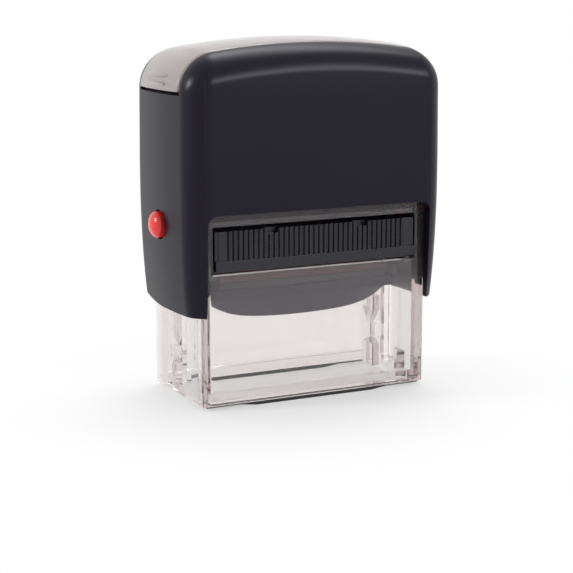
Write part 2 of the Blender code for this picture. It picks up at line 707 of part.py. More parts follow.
def build_carrier(parent, material):
    """A flat bed for the die over an arched keel, with an axle stub at each end."""
    half_keel = CARRIER_KEEL_WIDTH / 2
    rings = []
    for i in range(CARRIER_STATIONS + 1):
        share = 2 * i / CARRIER_STATIONS - 1
        keel = AXLE_Z - CARRIER_DEPTH + CARRIER_ARCH * share ** 2 + CARRIER_BOW * share ** 6
        top, edge = AXLE_Z + CARRIER_TOP, AXLE_Z + CARRIER_TOP - CARRIER_EDGE
        section = [(CARRIER_HALF_WIDTH, top), (-CARRIER_HALF_WIDTH, top), (-CARRIER_HALF_WIDTH, edge),
                   (-half_keel, keel), (half_keel, keel), (CARRIER_HALF_WIDTH, edge)]
        rings.append([(share * CARRIER_HALF_LENGTH, y, z) for y, z in section])
    bm = bmesh.new()
    add_loft(bm, rings)
    carrier = make_piece("die_carrier", bm, parent, material)

    bm = bmesh.new()
    for side in (-1, 1):
        stub = [(CARRIER_HALF_LENGTH - OVERCUT, AXLE_RADIUS), (CAP_INNER_X + AXLE_REACH, AXLE_RADIUS)]
        add_turned(bm, stub, side, 0.0, AXLE_Z)
    join(carrier, bm, "axle_stubs")


def build_foam(parent, material):
    low = AXLE_Z + CARRIER_TOP + BOND_GAP
    bm = bmesh.new()
    add_slab(bm, plain_outline(DIE_LENGTH / 2, DIE_WIDTH / 2, FOAM_CORNER), low, low + FOAM_THICKNESS)
    make_piece("foam_cushion", bm, parent, material)


def die_is_raised(x, y):
    """Relief of the rubber: a border line and three plain bars."""
    from_end = DIE_LENGTH / 2 - abs(x)
    from_side = DIE_WIDTH / 2 - abs(y)
    near = min(from_end, from_side)
    if DIE_BORDER_INSET < near < DIE_BORDER_INSET + DIE_BORDER_WIDTH:
        return True
    for bar, length in enumerate(DIE_BAR_LENGTHS):
        middle = (bar - 1) * (DIE_BAR_HEIGHT + DIE_BAR_GAP)
        if abs(y - middle) < DIE_BAR_HEIGHT / 2 and abs(x) < length / 2:
            return True
    return False


def build_die(parent, material):
    """A sheet whose raised cells are drawn up from a grid that follows the relief's edges."""
    inset, border = DIE_BORDER_INSET, DIE_BORDER_INSET + DIE_BORDER_WIDTH
    half_x = [DIE_LENGTH / 2 - d for d in (0.0, inset, border)] + [n / 2 for n in DIE_BAR_LENGTHS]
    xs = sorted({s * x for x in half_x for s in (-1, 1)})
    edges = [DIE_WIDTH / 2 - d for d in (0.0, inset, border)]
    for bar in (-1, 0, 1):
        middle = bar * (DIE_BAR_HEIGHT + DIE_BAR_GAP)
        edges += [middle - DIE_BAR_HEIGHT / 2, middle + DIE_BAR_HEIGHT / 2]
    ys = sorted({round(s * y, 6) for y in edges for s in (-1, 1)})
    low = AXLE_Z + DIE_FACE - DIE_THICKNESS
    top = low + DIE_SHEET
    bm = bmesh.new()
    grid = [[bm.verts.new((x, y, top)) for y in ys] for x in xs]
    raised = []
    for i in range(len(xs) - 1):
        for j in range(len(ys) - 1):
            face = bm.faces.new((grid[i][j], grid[i + 1][j], grid[i + 1][j + 1], grid[i][j + 1]))
            if die_is_raised((xs[i] + xs[i + 1]) / 2, (ys[j] + ys[j + 1]) / 2):
                raised.append(face)
    border_edges = [e for e in bm.edges if e.is_boundary]
    lifted = bmesh.ops.extrude_face_region(bm, geom=raised)
    for item in lifted["geom"]:
        if isinstance(item, bmesh.types.BMVert):
            item.co.z = low + DIE_THICKNESS
    bmesh.ops.delete(bm, geom=raised, context="FACES")
    lowered = bmesh.ops.extrude_edge_only(bm, edges=border_edges)
    for item in lowered["geom"]:
        if isinstance(item, bmesh.types.BMVert):
            item.co.z = low
    bmesh.ops.holes_fill(bm, edges=[e for e in bm.edges if e.is_boundary], sides=0)
    make_piece("rubber_die", bm, parent, material)


def spring_points():
    low = BASE_TOP + SEAT_GAP + WIRE_RADIUS
    high = ROOF_Z - SEAT_GAP - WIRE_RADIUS
    count = round(SPRING_TURNS * POINTS_PER_TURN)
    points = []
    for i in range(count + 1):
        angle = 2 * math.pi * i / POINTS_PER_TURN
        z = low + (high - low) * i / count
        points.append(Vector((SPRING_RADIUS * math.cos(angle), SPRING_RADIUS * math.sin(angle), z)))
    return points


def build_spring(parent, material):
    """One unbroken wire wound round the upright axis."""
    points = spring_points()
    curve = bpy.data.curves.new("press_spring", "CURVE")
    curve.dimensions = "3D"
    curve.bevel_depth = WIRE_RADIUS * MM
    curve.bevel_resolution = 1
    curve.use_fill_caps = True
    spline = curve.splines.new("POLY")
    spline.points.add(len(points) - 1)
    for target, point in zip(spline.points, points):
        target.co = (*(point * MM - Vector(parent.location)), 1.0)
    curve.materials.append(material)
    obj = bpy.data.objects.new("press_spring", curve)
    obj.parent = parent
    bpy.context.scene.collection.objects.link(obj)
    apart = POINTS_PER_TURN // 2
    least = min((a - b).length for i, a in enumerate(points) for b in points[i + apart:])
    print(f"press_spring: least gap between its turns {least - 2 * WIRE_RADIUS:.2f} mm")


def main():
    clear_scene()
    base = pivot("base_origin")
    handle = pivot("handle_slide")
    plate = pivot("plate_axle", z=AXLE_Z)
    cartridge = pivot("pad_slide", y=-BASE_Y, z=TRAY_BOTTOM)
    window = pivot("window_lift", z=WINDOW_END_Z)
    left = pivot("lock_left_axis", x=-BASE_X, z=BUTTON_Z)
    right = pivot("lock_right_axis", x=BASE_X, z=BUTTON_Z)

    smoky_clear = plain_material("smoky_clear", (0.78, 0.74, 0.73), 0.08, alpha=0.35)
    black_satin = plain_material("black_satin", (0.018, 0.017, 0.022), 0.35)
    black_tray = plain_material("black_tray", (0.012, 0.012, 0.015), 0.45)
    black_carrier = plain_material("black_carrier", (0.025, 0.022, 0.024), 0.55)
    red_button = plain_material("red_button", (0.80, 0.02, 0.015), 0.25)
    red_felt = plain_material("red_felt", (0.45, 0.01, 0.02), 0.95)
    clear_window = plain_material("clear_window", (0.80, 0.77, 0.75), 0.12, alpha=0.4)
    white_card = plain_material("white_card", (0.82, 0.80, 0.78), 0.8)
    dark_rubber = plain_material("dark_rubber", (0.02, 0.02, 0.025), 0.8)
    grey_foam = plain_material("grey_foam", (0.10, 0.10, 0.11), 0.95)
    die_rubber = plain_material("die_rubber", (0.12, 0.05, 0.05), 0.7)
    spring_steel = plain_material("spring_steel", (0.62, 0.62, 0.64), 0.3, metallic=1.0)

    build_base(base, smoky_clear)
    build_foot("foot_front", -1, base, dark_rubber)
    build_foot("foot_back", 1, base, dark_rubber)
    build_tray(cartridge, black_tray)
    build_pad(cartridge, red_felt)
    build_cap(handle, black_satin)
    build_window(window, clear_window)
    build_card(handle, white_card)
    build_button("lock_button_left", -1, left, red_button)
    build_button("lock_button_right", 1, right, red_button)
    build_carrier(plate, black_carrier)
    build_foam(plate, grey_foam)
    build_die(plate, die_rubber)
    build_spring(base, spring_steel)


main()
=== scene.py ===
"""Looks of a self-inking stamp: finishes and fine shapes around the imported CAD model.

Metres, +Z up, front at -Y, in the CAD model's frame.
"""

import math

import bmesh
import bpy
from bpy.props import FloatProperty, FloatVectorProperty, IntProperty, PointerProperty
from mathutils import Matrix, Vector


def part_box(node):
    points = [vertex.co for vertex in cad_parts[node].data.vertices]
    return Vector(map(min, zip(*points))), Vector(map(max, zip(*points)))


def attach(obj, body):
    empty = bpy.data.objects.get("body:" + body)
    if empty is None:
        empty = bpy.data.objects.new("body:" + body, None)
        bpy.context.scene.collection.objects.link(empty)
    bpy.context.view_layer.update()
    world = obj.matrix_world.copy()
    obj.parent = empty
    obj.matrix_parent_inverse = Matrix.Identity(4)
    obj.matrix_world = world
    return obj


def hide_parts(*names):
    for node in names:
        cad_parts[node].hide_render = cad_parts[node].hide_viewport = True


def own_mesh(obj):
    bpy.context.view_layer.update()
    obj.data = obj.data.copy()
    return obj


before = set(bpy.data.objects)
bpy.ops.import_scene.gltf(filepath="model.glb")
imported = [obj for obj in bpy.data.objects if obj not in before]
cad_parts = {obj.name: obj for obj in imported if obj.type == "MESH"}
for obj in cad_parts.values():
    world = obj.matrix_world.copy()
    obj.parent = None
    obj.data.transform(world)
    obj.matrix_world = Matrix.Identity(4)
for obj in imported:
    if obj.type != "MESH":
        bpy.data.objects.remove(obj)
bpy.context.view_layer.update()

bl_info = {
    "name": "Self-inking stamp looks",
    "version": (1, 0, 0),
    "blender": (4, 5, 0),
    "location": "View3D > Sidebar > Stamp",
    "description": "Dresses the CAD frame of a self-inking stamp and sets its stage",
    "category": "Object",
}

MM = 0.001

# Joining a CAD node's triangles, and the angles past which an edge is rounded or stays sharp.
MERGE_DISTANCE = 1e-6
FLAT_ANGLE = math.radians(0.5)
EDGE_ANGLE = math.radians(35)
SMOOTH_ANGLE = math.radians(42)

# How far a cutting shape reaches past what it cuts, and how deep a joined shape is sunk in.
CUT_MARGIN = 1.0 * MM
SINK = 0.2 * MM
OPENING_OVERRUN = 12.0 * MM

# Steps round holes and posts, up the walls, and halvings in the search for an end of an arch.
ROUND_SIDES = 48
WALL_STEPS = 24
HALVINGS = 40

# How the handle's outline changes over its top bend, and where its walls end under it.
CORNER_DRAW = 0.8
TIGHTEST_CORNER = 0.4 * MM
SHOULDER_GAP = 2.0 * MM

# Where on a corner's arc the front panel's edge may lie, and half the width of its step there.
PANEL_EDGE_LIMITS = (0.03, 0.97)
PANEL_EDGE_STEP = 0.006

# How late the window cover's long edges roll down: a higher power keeps more of it flat.
EDGE_ROLL_POWER = 60

# Lamps by place and size in metres, all turned to one point in the stamp.
SOFTBOXES = (
    {"name": "left_softbox", "place": (-0.62, 0.14, 0.29), "size": (0.12, 0.14), "watts": 2.2},
    {"name": "front_softbox", "place": (0.34, -0.64, 0.27), "size": (0.46, 0.08), "watts": 2.2},
    {"name": "top_softbox", "place": (0.22, 0.16, 0.62), "size": (0.50, 0.22), "watts": 2.0},
)
LIT_POINT = Vector((0.0, 0.0, 0.04))
WHITE = (1.0, 1.0, 1.0, 1.0)

# The floor's white share by distance from the stamp, and the sky's strength from front to back.
FLOOR_FADE = {"From Min": 0.026, "From Max": 0.065, "To Min": 0.5, "To Max": 1.0}
SKY_RISE = {"From Min": -0.5, "From Max": 0.6, "To Min": 0.3, "To Max": 2.0}


def length(name, description, default):
    """A size in metres that a user may change."""
    return FloatProperty(name=name, description=description, default=default, unit="LENGTH", precision=5)


def colour(name, description, default):
    """A colour that a user may change."""
    return FloatVectorProperty(name=name, description=description, default=default, subtype="COLOR",
                               size=3, min=0.0, max=1.0)


class HandleSettings(bpy.types.PropertyGroup):
    """Sizes and colours of the black handle."""

    colour: colour("Handle colour", "Black of the moulded handle", (0.0052, 0.0034, 0.0098))
    edge: length("Edge rounding", "Width of the rounding on the handle's edges", 0.22 * MM)
    half_width: length("Half width", "Distance of the side from the middle at the waist", 28.8 * MM)
    half_depth: length("Half depth", "Distance of the front from the middle", 14.85 * MM)
    waist: length("Waist height", "Height of the widest place", 47.65 * MM)
    leg_bottom: length("Leg height", "Height of the legs' lower edge", 18.9 * MM)
    leg_rise: length("Leg curve", "Radius of the legs' lower edge behind the middle", 43.0 * MM)
    leg_taper: length("Leg taper", "How much the legs draw in at the sides", 1.05 * MM)
    front_taper: length("Front taper", "How much the legs draw in at the front", 0.55 * MM)
    top_taper: length("Top taper", "How much the sides draw in towards the top", 0.3 * MM)
    corner: length("Corner radius", "Radius of the upright corners", 5.0 * MM)
    side_bow: length("Side bow", "How far the middle of a side stands out from its corners", 0.4 * MM)
    crown: length("Crown height", "Height of the top in the middle", 71.4 * MM)
    crown_radius: length("Crown radius", "Curve of the top from side to side", 150.0 * MM)
    side_bend: length("Side bend", "Radius of the bend from the top to a side", 6.8 * MM)
    front_bend: length("Front bend", "Radius of the bend from the top to the front", 5.8 * MM)
    inner_half_width: length("Inner half width", "Distance of a side wall's inner face", 25.6 * MM)
    inner_half_depth: length("Inner half depth", "Distance of the front wall's inner face", 13.4 * MM)
    inner_corner: length("Inner corner", "Radius of the hollow's upright corners", 3.0 * MM)
    inner_side_bend: length("Inner side bend", "Radius of the bend from the roof to a side", 6.0 * MM)
    inner_front_bend: length("Inner front bend", "Radius of the bend from the roof to the front", 1.0 * MM)
    roof: length("Roof height", "Height of the hollow's roof", 66.8 * MM)
    opening: length("Opening half width", "Half width of the front opening", 24.6 * MM)
    opening_top: length("Opening height", "Height of the front opening's upper edge", 39.0 * MM)
    opening_corner: length("Opening corner", "Radius of the front opening's corners", 2.0 * MM)
    back_rise: length("Back rise", "How far the back's lower edge lies above the legs' ends", 1.5 * MM)
    seat: length("Seat half width", "Half width of the window's seat", 9.9 * MM)
    seat_depth: length("Seat depth", "Depth of the window's seat", 1.9 * MM)
    seat_end: length("Seat end", "Height of the seat's lower ends", 61.2 * MM)
    post: length("Post radius", "Radius of the spring's post under the roof", 3.4 * MM)
    post_length: length("Post length", "How far the spring's post reaches down", 3.5 * MM)
    axle: length("Axle height", "Height of the die plate's axle", 22.6 * MM)
    axle_bore: length("Axle bore", "Radius of the blind bore for the axle", 2.1 * MM)
    axle_play: length("Axle play", "Room past the axle's end", 0.2 * MM)
    button_hole: length("Button hole", "Radius of the hole for a lock button", 2.95 * MM)
    button_pocket: length("Button pocket", "Radius of the pocket for a button's flange", 3.7 * MM)
    pocket_end: length("Pocket end", "Distance of the pocket's outer end from the middle", 27.4 * MM)
    panel_reach: length("Panel edge", "Distance of the front panel's edge from the middle", 24.9 * MM)
    panel_proud: length("Panel step", "How far the front panel stands out", 0.14 * MM)
    panel_top: length("Panel top", "Distance of the panel's upper end from the crown", 4.5 * MM)
    panel_fade: length("Panel fade", "Height over which the panel's step fades in", 3.0 * MM)


class WindowSettings(bpy.types.PropertyGroup):
    """Sizes and colours of the clear cover on the handle's top and the card under it."""

    tint: colour("Window tint", "Tint of the clear cover", (0.62, 0.57, 0.56))
    card: colour("Card colour", "Paper of the card", (0.78, 0.75, 0.74))
    end: length("End height", "Height of the cover's lower ends", 62.4 * MM)
    width: length("Cover width", "Width of the cover from front to back", 19.2 * MM)
    thickness: length("Cover thickness", "Wall of the cover", 1.2 * MM)
    bulge: length("Bulge", "How far the cover arches above the handle", 0.7 * MM)
    edge_drop: length("Edge drop", "How far the cover's long edges roll down", 0.35 * MM)
    card_gap: length("Card gap", "Room between the cover and the card", 0.1 * MM)
    card_thickness: length("Card thickness", "Thickness of the card", 0.3 * MM)
    card_inset: length("Card inset", "How far the card's edges lie inside the cover's", 0.9 * MM)
    ridges: IntProperty(name="Thumb ridges", description="Ridges at each end of the cover", default=2, min=1)
    ridge_length: length("Ridge length", "Length of a thumb ridge", 9.4 * MM)
    ridge_width: length("Ridge width", "Width of a thumb ridge", 1.0 * MM)
    ridge_proud: length("Ridge height", "How far a thumb ridge stands out", 0.5 * MM)
    ridge_first: length("First ridge", "Height of the lowest thumb ridge", 63.6 * MM)
    ridge_pitch: length("Ridge pitch", "Rise from ridge to ridge", 1.65 * MM)


class BaseSettings(bpy.types.PropertyGroup):
    """Sizes and colours of the clear base and its feet."""

    tint: colour("Base tint", "Tint of the smoky clear plastic", (0.985, 0.975, 0.972))
    smoke: colour("Smoke colour", "What the plastic lets through where it is thick", (0.56, 0.46, 0.45))
    smoke_density: FloatProperty(name="Smoke density", description="How fast the plastic darkens",
                                 default=110.0, min=0.0)
    edge: length("Edge rounding", "Width of the rounding on the base's edges", 0.26 * MM)
    rubber: colour("Foot colour", "Rubber of the feet", (0.020, 0.019, 0.021))


class CartridgeSettings(bpy.types.PropertyGroup):
    """Sizes and colours of the ink cartridge."""

    colour: colour("Tray colour", "Black of the tray", (0.0120, 0.0120, 0.0180))
    felt: colour("Felt colour", "Ink-soaked felt", (0.30, 0.006, 0.012))
    felt_crown: length("Felt crown", "How far the felt's faces swell in the middle", 0.12 * MM)
    felt_pull: length("Felt pull", "How far the felt's sides draw in", 0.15 * MM)
    edge: length("Edge rounding", "Width of the rounding on the tray's edges", 0.12 * MM)
    play: length("Play", "Room round the felt", 0.3 * MM)
    ribs: IntProperty(name="Grip ribs", description="Ribs along the grip strip", default=36, min=1)
    rib_pitch: length("Rib pitch", "Distance from rib to rib", 1.1 * MM)
    rib_width: length("Rib width", "Width of a rib", 0.56 * MM)
    strip_end: length("Strip end", "How much shorter the ribbed part is than the band", 0.7 * MM)
    rib_depth: length("Rib depth", "How far a rib stands out of the strip", 0.45 * MM)
    band: length("Band height", "Height of the plain band under the ribs", 2.0 * MM)
    lip: length("Lip height", "Height of the strip's lower edge above the tray's rim", 0.6 * MM)
    lip_depth: length("Lip depth", "How far the tray is cut back under the strip", 1.5 * MM)
    notch_offset: length("Notch offset", "Distance of a notch from the middle", 10.0 * MM)
    notch_width: length("Notch width", "Width of a notch in the ribs", 2.8 * MM)
    notch_depth: length("Notch depth", "How much shorter the ribs are in a notch", 0.9 * MM)
    notch_reach: length("Notch reach", "How far a notch goes into the tray", 1.2 * MM)


class PlateSettings(bpy.types.PropertyGroup):
    """Sizes and colours of the die plate."""

    carrier: colour("Carrier colour", "Dark plastic of the carrier", (0.022, 0.013, 0.027))
    foam: colour("Foam colour", "Foam cushion", (0.040, 0.038, 0.042))
    foam_crown: length("Foam crown", "How far the foam's faces swell in the middle", 0.03 * MM)
    foam_pull: length("Foam pull", "How far the foam's sides draw in", 0.2 * MM)
    rubber: colour("Die colour", "Rubber of the die, stained by ink", (0.060, 0.014, 0.017))
    edge: length("Edge rounding", "Width of the rounding on the plate's edges", 0.2 * MM)


class ButtonSettings(bpy.types.PropertyGroup):
    """Sizes and colours of the lock buttons."""

    colour: colour("Button colour", "Red of the lock buttons", (0.80, 0.014, 0.010))
    radius: length("Button radius", "Radius of the button's stem", 2.65 * MM)
    dome: length("Dome height", "Height of the button's dome", 1.5 * MM)
    flange: length("Flange radius", "Radius of the flange behind the wall", 3.4 * MM)
    flange_thickness: length("Flange thickness", "Thickness of the flange", 0.6 * MM)
    tip: length("Tip radius", "Radius of the lock tip", 1.3 * MM)
    tip_length: length("Tip length", "Length of the lock tip", 1.2 * MM)
    sides: IntProperty(name="Sides", description="Steps round the button", default=48, min=12)


class SpringSettings(bpy.types.PropertyGroup):
    """Sizes and colours of the press spring."""

    colour: colour("Steel colour", "Bright spring steel", (0.60, 0.60, 0.62))
    radius: length("Coil radius", "Radius of the wire's centreline", 5.0 * MM)
    wire: length("Wire radius", "Radius of the wire", 0.5 * MM)
    turns: FloatProperty(name="Turns", description="Turns of the coil", default=6.5, min=1.0)
    stroke: length("Stroke", "How far the handle presses the spring", 18.3 * MM)


class StageSettings(bpy.types.PropertyGroup):
    """Floor, light and camera."""

    floor: colour("Floor colour", "Pale floor", (0.93, 0.93, 0.93))
    floor_radius: length("Floor radius", "Radius of the round floor", 0.45)
    lens: FloatProperty(name="Lens", description="Focal length of the camera", default=100.6,
                        subtype="DISTANCE_CAMERA")
    camera: FloatVectorProperty(name="Camera place", description="Where the camera stands", size=3,
                                subtype="XYZ", unit="LENGTH", default=(-0.1448, -0.2912, 0.0853))
    look: FloatVectorProperty(name="View direction", description="Where the camera looks", size=3,
                              subtype="DIRECTION", default=(0.4352, 0.8791, -0.1947))
    ambient: FloatProperty(name="Ambient light", description="Strength of the light from all round",
                           default=0.42, min=0.0)


class StampSettings(bpy.types.PropertyGroup):
    """Everything a user may change about the stamp's looks."""

    handle: PointerProperty(type=HandleSettings)
    window: PointerProperty(type=WindowSettings)
    base: PointerProperty(type=BaseSettings)
    cartridge: PointerProperty(type=CartridgeSettings)
    plate: PointerProperty(type=PlateSettings)
    button: PointerProperty(type=ButtonSettings)
    spring: PointerProperty(type=SpringSettings)
    stage: PointerProperty(type=StageSettings)


def link(name, data):
    """A new object in the scene, at the origin."""
    obj = bpy.data.objects.new(name, data)
    bpy.context.scene.collection.objects.link(obj)
    return obj


def object_from(name, bm):
    """Turn a bmesh into an object, and free it."""
    mesh = bpy.data.meshes.new(name)
    bm.to_mesh(mesh)
    bm.free()
    return link(name, mesh)


def bake(obj):
    """Turn an object's modifiers into plain mesh."""
    graph = bpy.context.evaluated_depsgraph_get()
    mesh = bpy.data.meshes.new_from_object(obj.evaluated_get(graph), depsgraph=graph)
    obj.modifiers.clear()
    old = obj.data
    obj.data = mesh
    bpy.data.meshes.remove(old)
    mesh.name = obj.name
    if not mesh.polygons:
        raise RuntimeError(f"{obj.name} came out empty")


def merged_copy(name, node):
    """A piece with a CAD node's shape: its loose triangles joined, its flat areas whole again."""
    bm = bmesh.new()
    bm.from_mesh(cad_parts[node].data)
    bmesh.ops.remove_doubles(bm, verts=bm.verts, dist=MERGE_DISTANCE)
    bmesh.ops.dissolve_limit(bm, angle_limit=FLAT_ANGLE, verts=bm.verts, edges=bm.edges)
    obj = object_from(name, bm)
    obj.data.materials.clear()
    return obj


def round_edges(obj, width, segments=2):
    """Round the sharp edges and shade the piece smoothly between them."""
    bevel = obj.modifiers.new("edges", "BEVEL")
    bevel.width = width
    bevel.segments = segments
    bevel.limit_method = "ANGLE"
    bevel.angle_limit = EDGE_ANGLE
    bake(obj)
    smooth(obj)


def smooth(obj):
    """Shade a piece smoothly, apart from its sharp edges."""
    obj.data.shade_smooth()
    obj.data.set_sharp_from_angle(angle=SMOOTH_ANGLE)
    weighted = obj.modifiers.new("normals", "WEIGHTED_NORMAL")
    weighted.keep_sharp = True
    bake(obj)


def dress(obj, material, body, slot, *nodes):
    """Give a finished piece its material and its body, and hide the CAD nodes it stands for."""
    obj.data.materials.clear()
    obj.data.materials.append(material)
    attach(obj, body)
    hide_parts(*nodes)


def add_box(bm, low, high):
    """A box between two opposite corners."""
    for vert in bmesh.ops.create_cube(bm, size=1.0)["verts"]:
        vert.co = Vector(lo + (hi - lo) * (c + 0.5) for lo, hi, c in zip(low, high, vert.co))


def add_loft(bm, rings, tip=None):
    """Skin closed rings of equal length; the ends are filled, or the last drawn to a tip."""
    rows = [[bm.verts.new(point) for point in ring] for ring in rings]
    count = len(rows[0])
    for low, high in zip(rows, rows[1:]):
        for i in range(count):
            j = (i + 1) % count
            bm.faces.new((low[i], low[j], high[j], high[i]))
    bm.faces.new(rows[0][::-1])
    if tip is None:
        bm.faces.new(rows[-1])
    else:
        end = bm.verts.new(tip)
        for i in range(count):
            bm.faces.new((rows[-1][i], rows[-1][(i + 1) % count], end))
    bmesh.ops.recalc_face_normals(bm, faces=bm.faces)


def side_prism(outline, low, high):
    """A flat outline of (y, z) drawn along X."""
    bm = bmesh.new()
    add_loft(bm, [[(x, y, z) for y, z in outline] for x in (low, high)])
    return bm


def front_prism(outline, low, high):
    """A flat outline of (x, z) drawn along Y."""
    bm = bmesh.new()
    add_loft(bm, [[(x, y, z) for x, z in outline] for y in (low, high)])
    return bm


def turned(bm, profile, side, z, sides, tip=None):
    """A round shape along X from (x, radius) pairs; side is -1 on the left."""
    turns = [2 * math.pi * i / sides for i in range(sides)]
    rings = [[(side * x, radius * math.cos(a), z + radius * math.sin(a)) for a in turns]
             for x, radius in profile]
    add_loft(bm, rings, None if tip is None else (side * tip, 0.0, z))


def boolean(obj, bm, operation):
    """Cut a shape out of a piece, or join it on, and keep the plain result."""
    helper = object_from(f"{obj.name}_helper", bm)
    modifier = obj.modifiers.new("shape", "BOOLEAN")
    modifier.operation = operation
    modifier.solver = "EXACT"
    modifier.object = helper
    bake(obj)
    bpy.data.objects.remove(helper)


def soft_slab(name, low, high, crown, pull, cuts=14):
    """A soft block: faces crowned in the middle, sides drawn in between the corners."""
    bm = bmesh.new()
    add_box(bm, low, high)
    bmesh.ops.subdivide_edges(bm, edges=bm.edges[:], cuts=cuts, use_grid_fill=True)
    centre = (Vector(low) + Vector(high)) / 2
    half = (Vector(high) - Vector(low)) / 2
    along_side, up_side = 0.6, 0.4
    for vert in bm.verts:
        share = Vector((vert.co - centre)[i] / half[i] for i in range(3))
        waist = 1 - share.z * share.z
        middle = (1 - share.x ** 4) * (1 - share.y ** 4)
        vert.co.x -= share.x * pull * ((1 - share.y ** 2) * along_side + up_side * waist)
        vert.co.y -= share.y * pull * ((1 - share.x ** 4) * along_side + up_side * waist)
        vert.co.z -= share.z * crown * (1 - middle)
    obj = object_from(name, bm)
    soften = obj.modifiers.new("soften", "SUBSURF")
    soften.levels = soften.render_levels = 1
    bake(obj)
    obj.data.shade_smooth()
    return obj


def node_tree(name, sockets):
    """A Geometry Nodes tree with a geometry in and out and named inputs."""
    tree = bpy.data.node_groups.new(name, "GeometryNodeTree")
    tree.interface.new_socket("Geometry", in_out="INPUT", socket_type="NodeSocketGeometry")
    for label, kind in sockets:
        tree.interface.new_socket(label, in_out="INPUT", socket_type=f"NodeSocket{kind}")
    tree.interface.new_socket("Geometry", in_out="OUTPUT", socket_type="NodeSocketGeometry")
    return tree, tree.nodes.new("NodeGroupInput"), tree.nodes.new("NodeGroupOutput")


def run_nodes(obj, tree, values):
    """Run a Geometry Nodes tree on a piece and keep the plain mesh."""
    modifier = obj.modifiers.new(tree.name, "NODES")
    modifier.node_group = tree
    for item in tree.interface.items_tree:
        if item.item_type == "SOCKET" and item.in_out == "INPUT" and item.name in values:
            modifier[item.identifier] = values[item.name]
    bake(obj)


def maths(tree, operation, first, second=None):
    """A Math node's result; each of its values is a number or another node's output."""
    node = tree.nodes.new("ShaderNodeMath")
    node.operation = operation
    for socket, value in zip(node.inputs, (first, second)):
        if isinstance(value, bpy.types.NodeSocket):
            tree.links.new(value, socket)
        elif value is not None:
            socket.default_value = value
    return node.outputs[0]


def vector(tree, x=0.0, y=0.0, z=0.0):
    """A vector from numbers or other nodes' outputs."""
    node = tree.nodes.new("ShaderNodeCombineXYZ")
    for socket, value in zip(node.inputs, (x, y, z)):
        if isinstance(value, bpy.types.NodeSocket):
            tree.links.new(value, socket)
        else:
            socket.default_value = value
    return node.outputs[0]


def repeated_bar_tree(tapered=False):
    """Round bars in a row, each shorter where it stands in a notch; tapered bars thin out to their ends."""
    tree, given, out = node_tree("tapered_bars" if tapered else "repeated_bars", [
        ("Count", "Int"), ("Start", "Vector"), ("Step", "Vector"), ("Width", "Float"), ("Depth", "Float"),
        ("Height", "Float"), ("Turn", "Rotation"), ("Notch Offset", "Float"), ("Notch Width", "Float"),
        ("Notch Depth", "Float"), ("Material", "Material")])
    new, join = tree.nodes.new, tree.links.new
    value = given.outputs

    line = new("GeometryNodeMeshLine")
    line.mode = "OFFSET"
    join(value["Count"], line.inputs["Count"])
    join(value["Start"], line.inputs["Start Location"])
    join(value["Step"], line.inputs["Offset"])

    if tapered:
        bar = new("GeometryNodeMeshUVSphere")
        bar.inputs["Segments"].default_value = 16
        bar.inputs["Rings"].default_value = 24
    else:
        bar = new("GeometryNodeMeshCylinder")
        bar.inputs["Vertices"].default_value = 12
        bar.inputs["Depth"].default_value = 1.0
    bar.inputs["Radius"].default_value = 0.5
    foot = new("GeometryNodeTransform")
    foot.inputs["Translation"].default_value = (0.0, 0.0, 0.5)
    join(bar.outputs["Mesh"], foot.inputs["Geometry"])

    place = new("GeometryNodeInputPosition")
    split = new("ShaderNodeSeparateXYZ")
    join(place.outputs[0], split.inputs[0])
    from_notch = maths(tree, "ABSOLUTE", maths(tree, "SUBTRACT", maths(tree, "ABSOLUTE", split.outputs["X"]),
                                               value["Notch Offset"]))
    in_notch = maths(tree, "LESS_THAN", from_notch, maths(tree, "MULTIPLY", value["Notch Width"], 0.5))
    height = maths(tree, "SUBTRACT", value["Height"], maths(tree, "MULTIPLY", in_notch, value["Notch Depth"]))
    size = vector(tree, value["Width"], maths(tree, "MULTIPLY", value["Depth"], 2.0), height)

    bars = new("GeometryNodeInstanceOnPoints")
    join(line.outputs["Mesh"], bars.inputs["Points"])
    join(foot.outputs["Geometry"], bars.inputs["Instance"])
    join(size, bars.inputs["Scale"])
    join(value["Turn"], bars.inputs["Rotation"])
    both = new("GeometryNodeJoinGeometry")
    join(bars.outputs["Instances"], both.inputs["Geometry"])
    join(value["Geometry"], both.inputs["Geometry"])
    real = new("GeometryNodeRealizeInstances")
    join(both.outputs["Geometry"], real.inputs["Geometry"])
    finish = new("GeometryNodeSetMaterial")
    join(real.outputs["Geometry"], finish.inputs["Geometry"])
    join(value["Material"], finish.inputs["Material"])
    join(finish.outputs["Geometry"], out.inputs["Geometry"])
    return tree


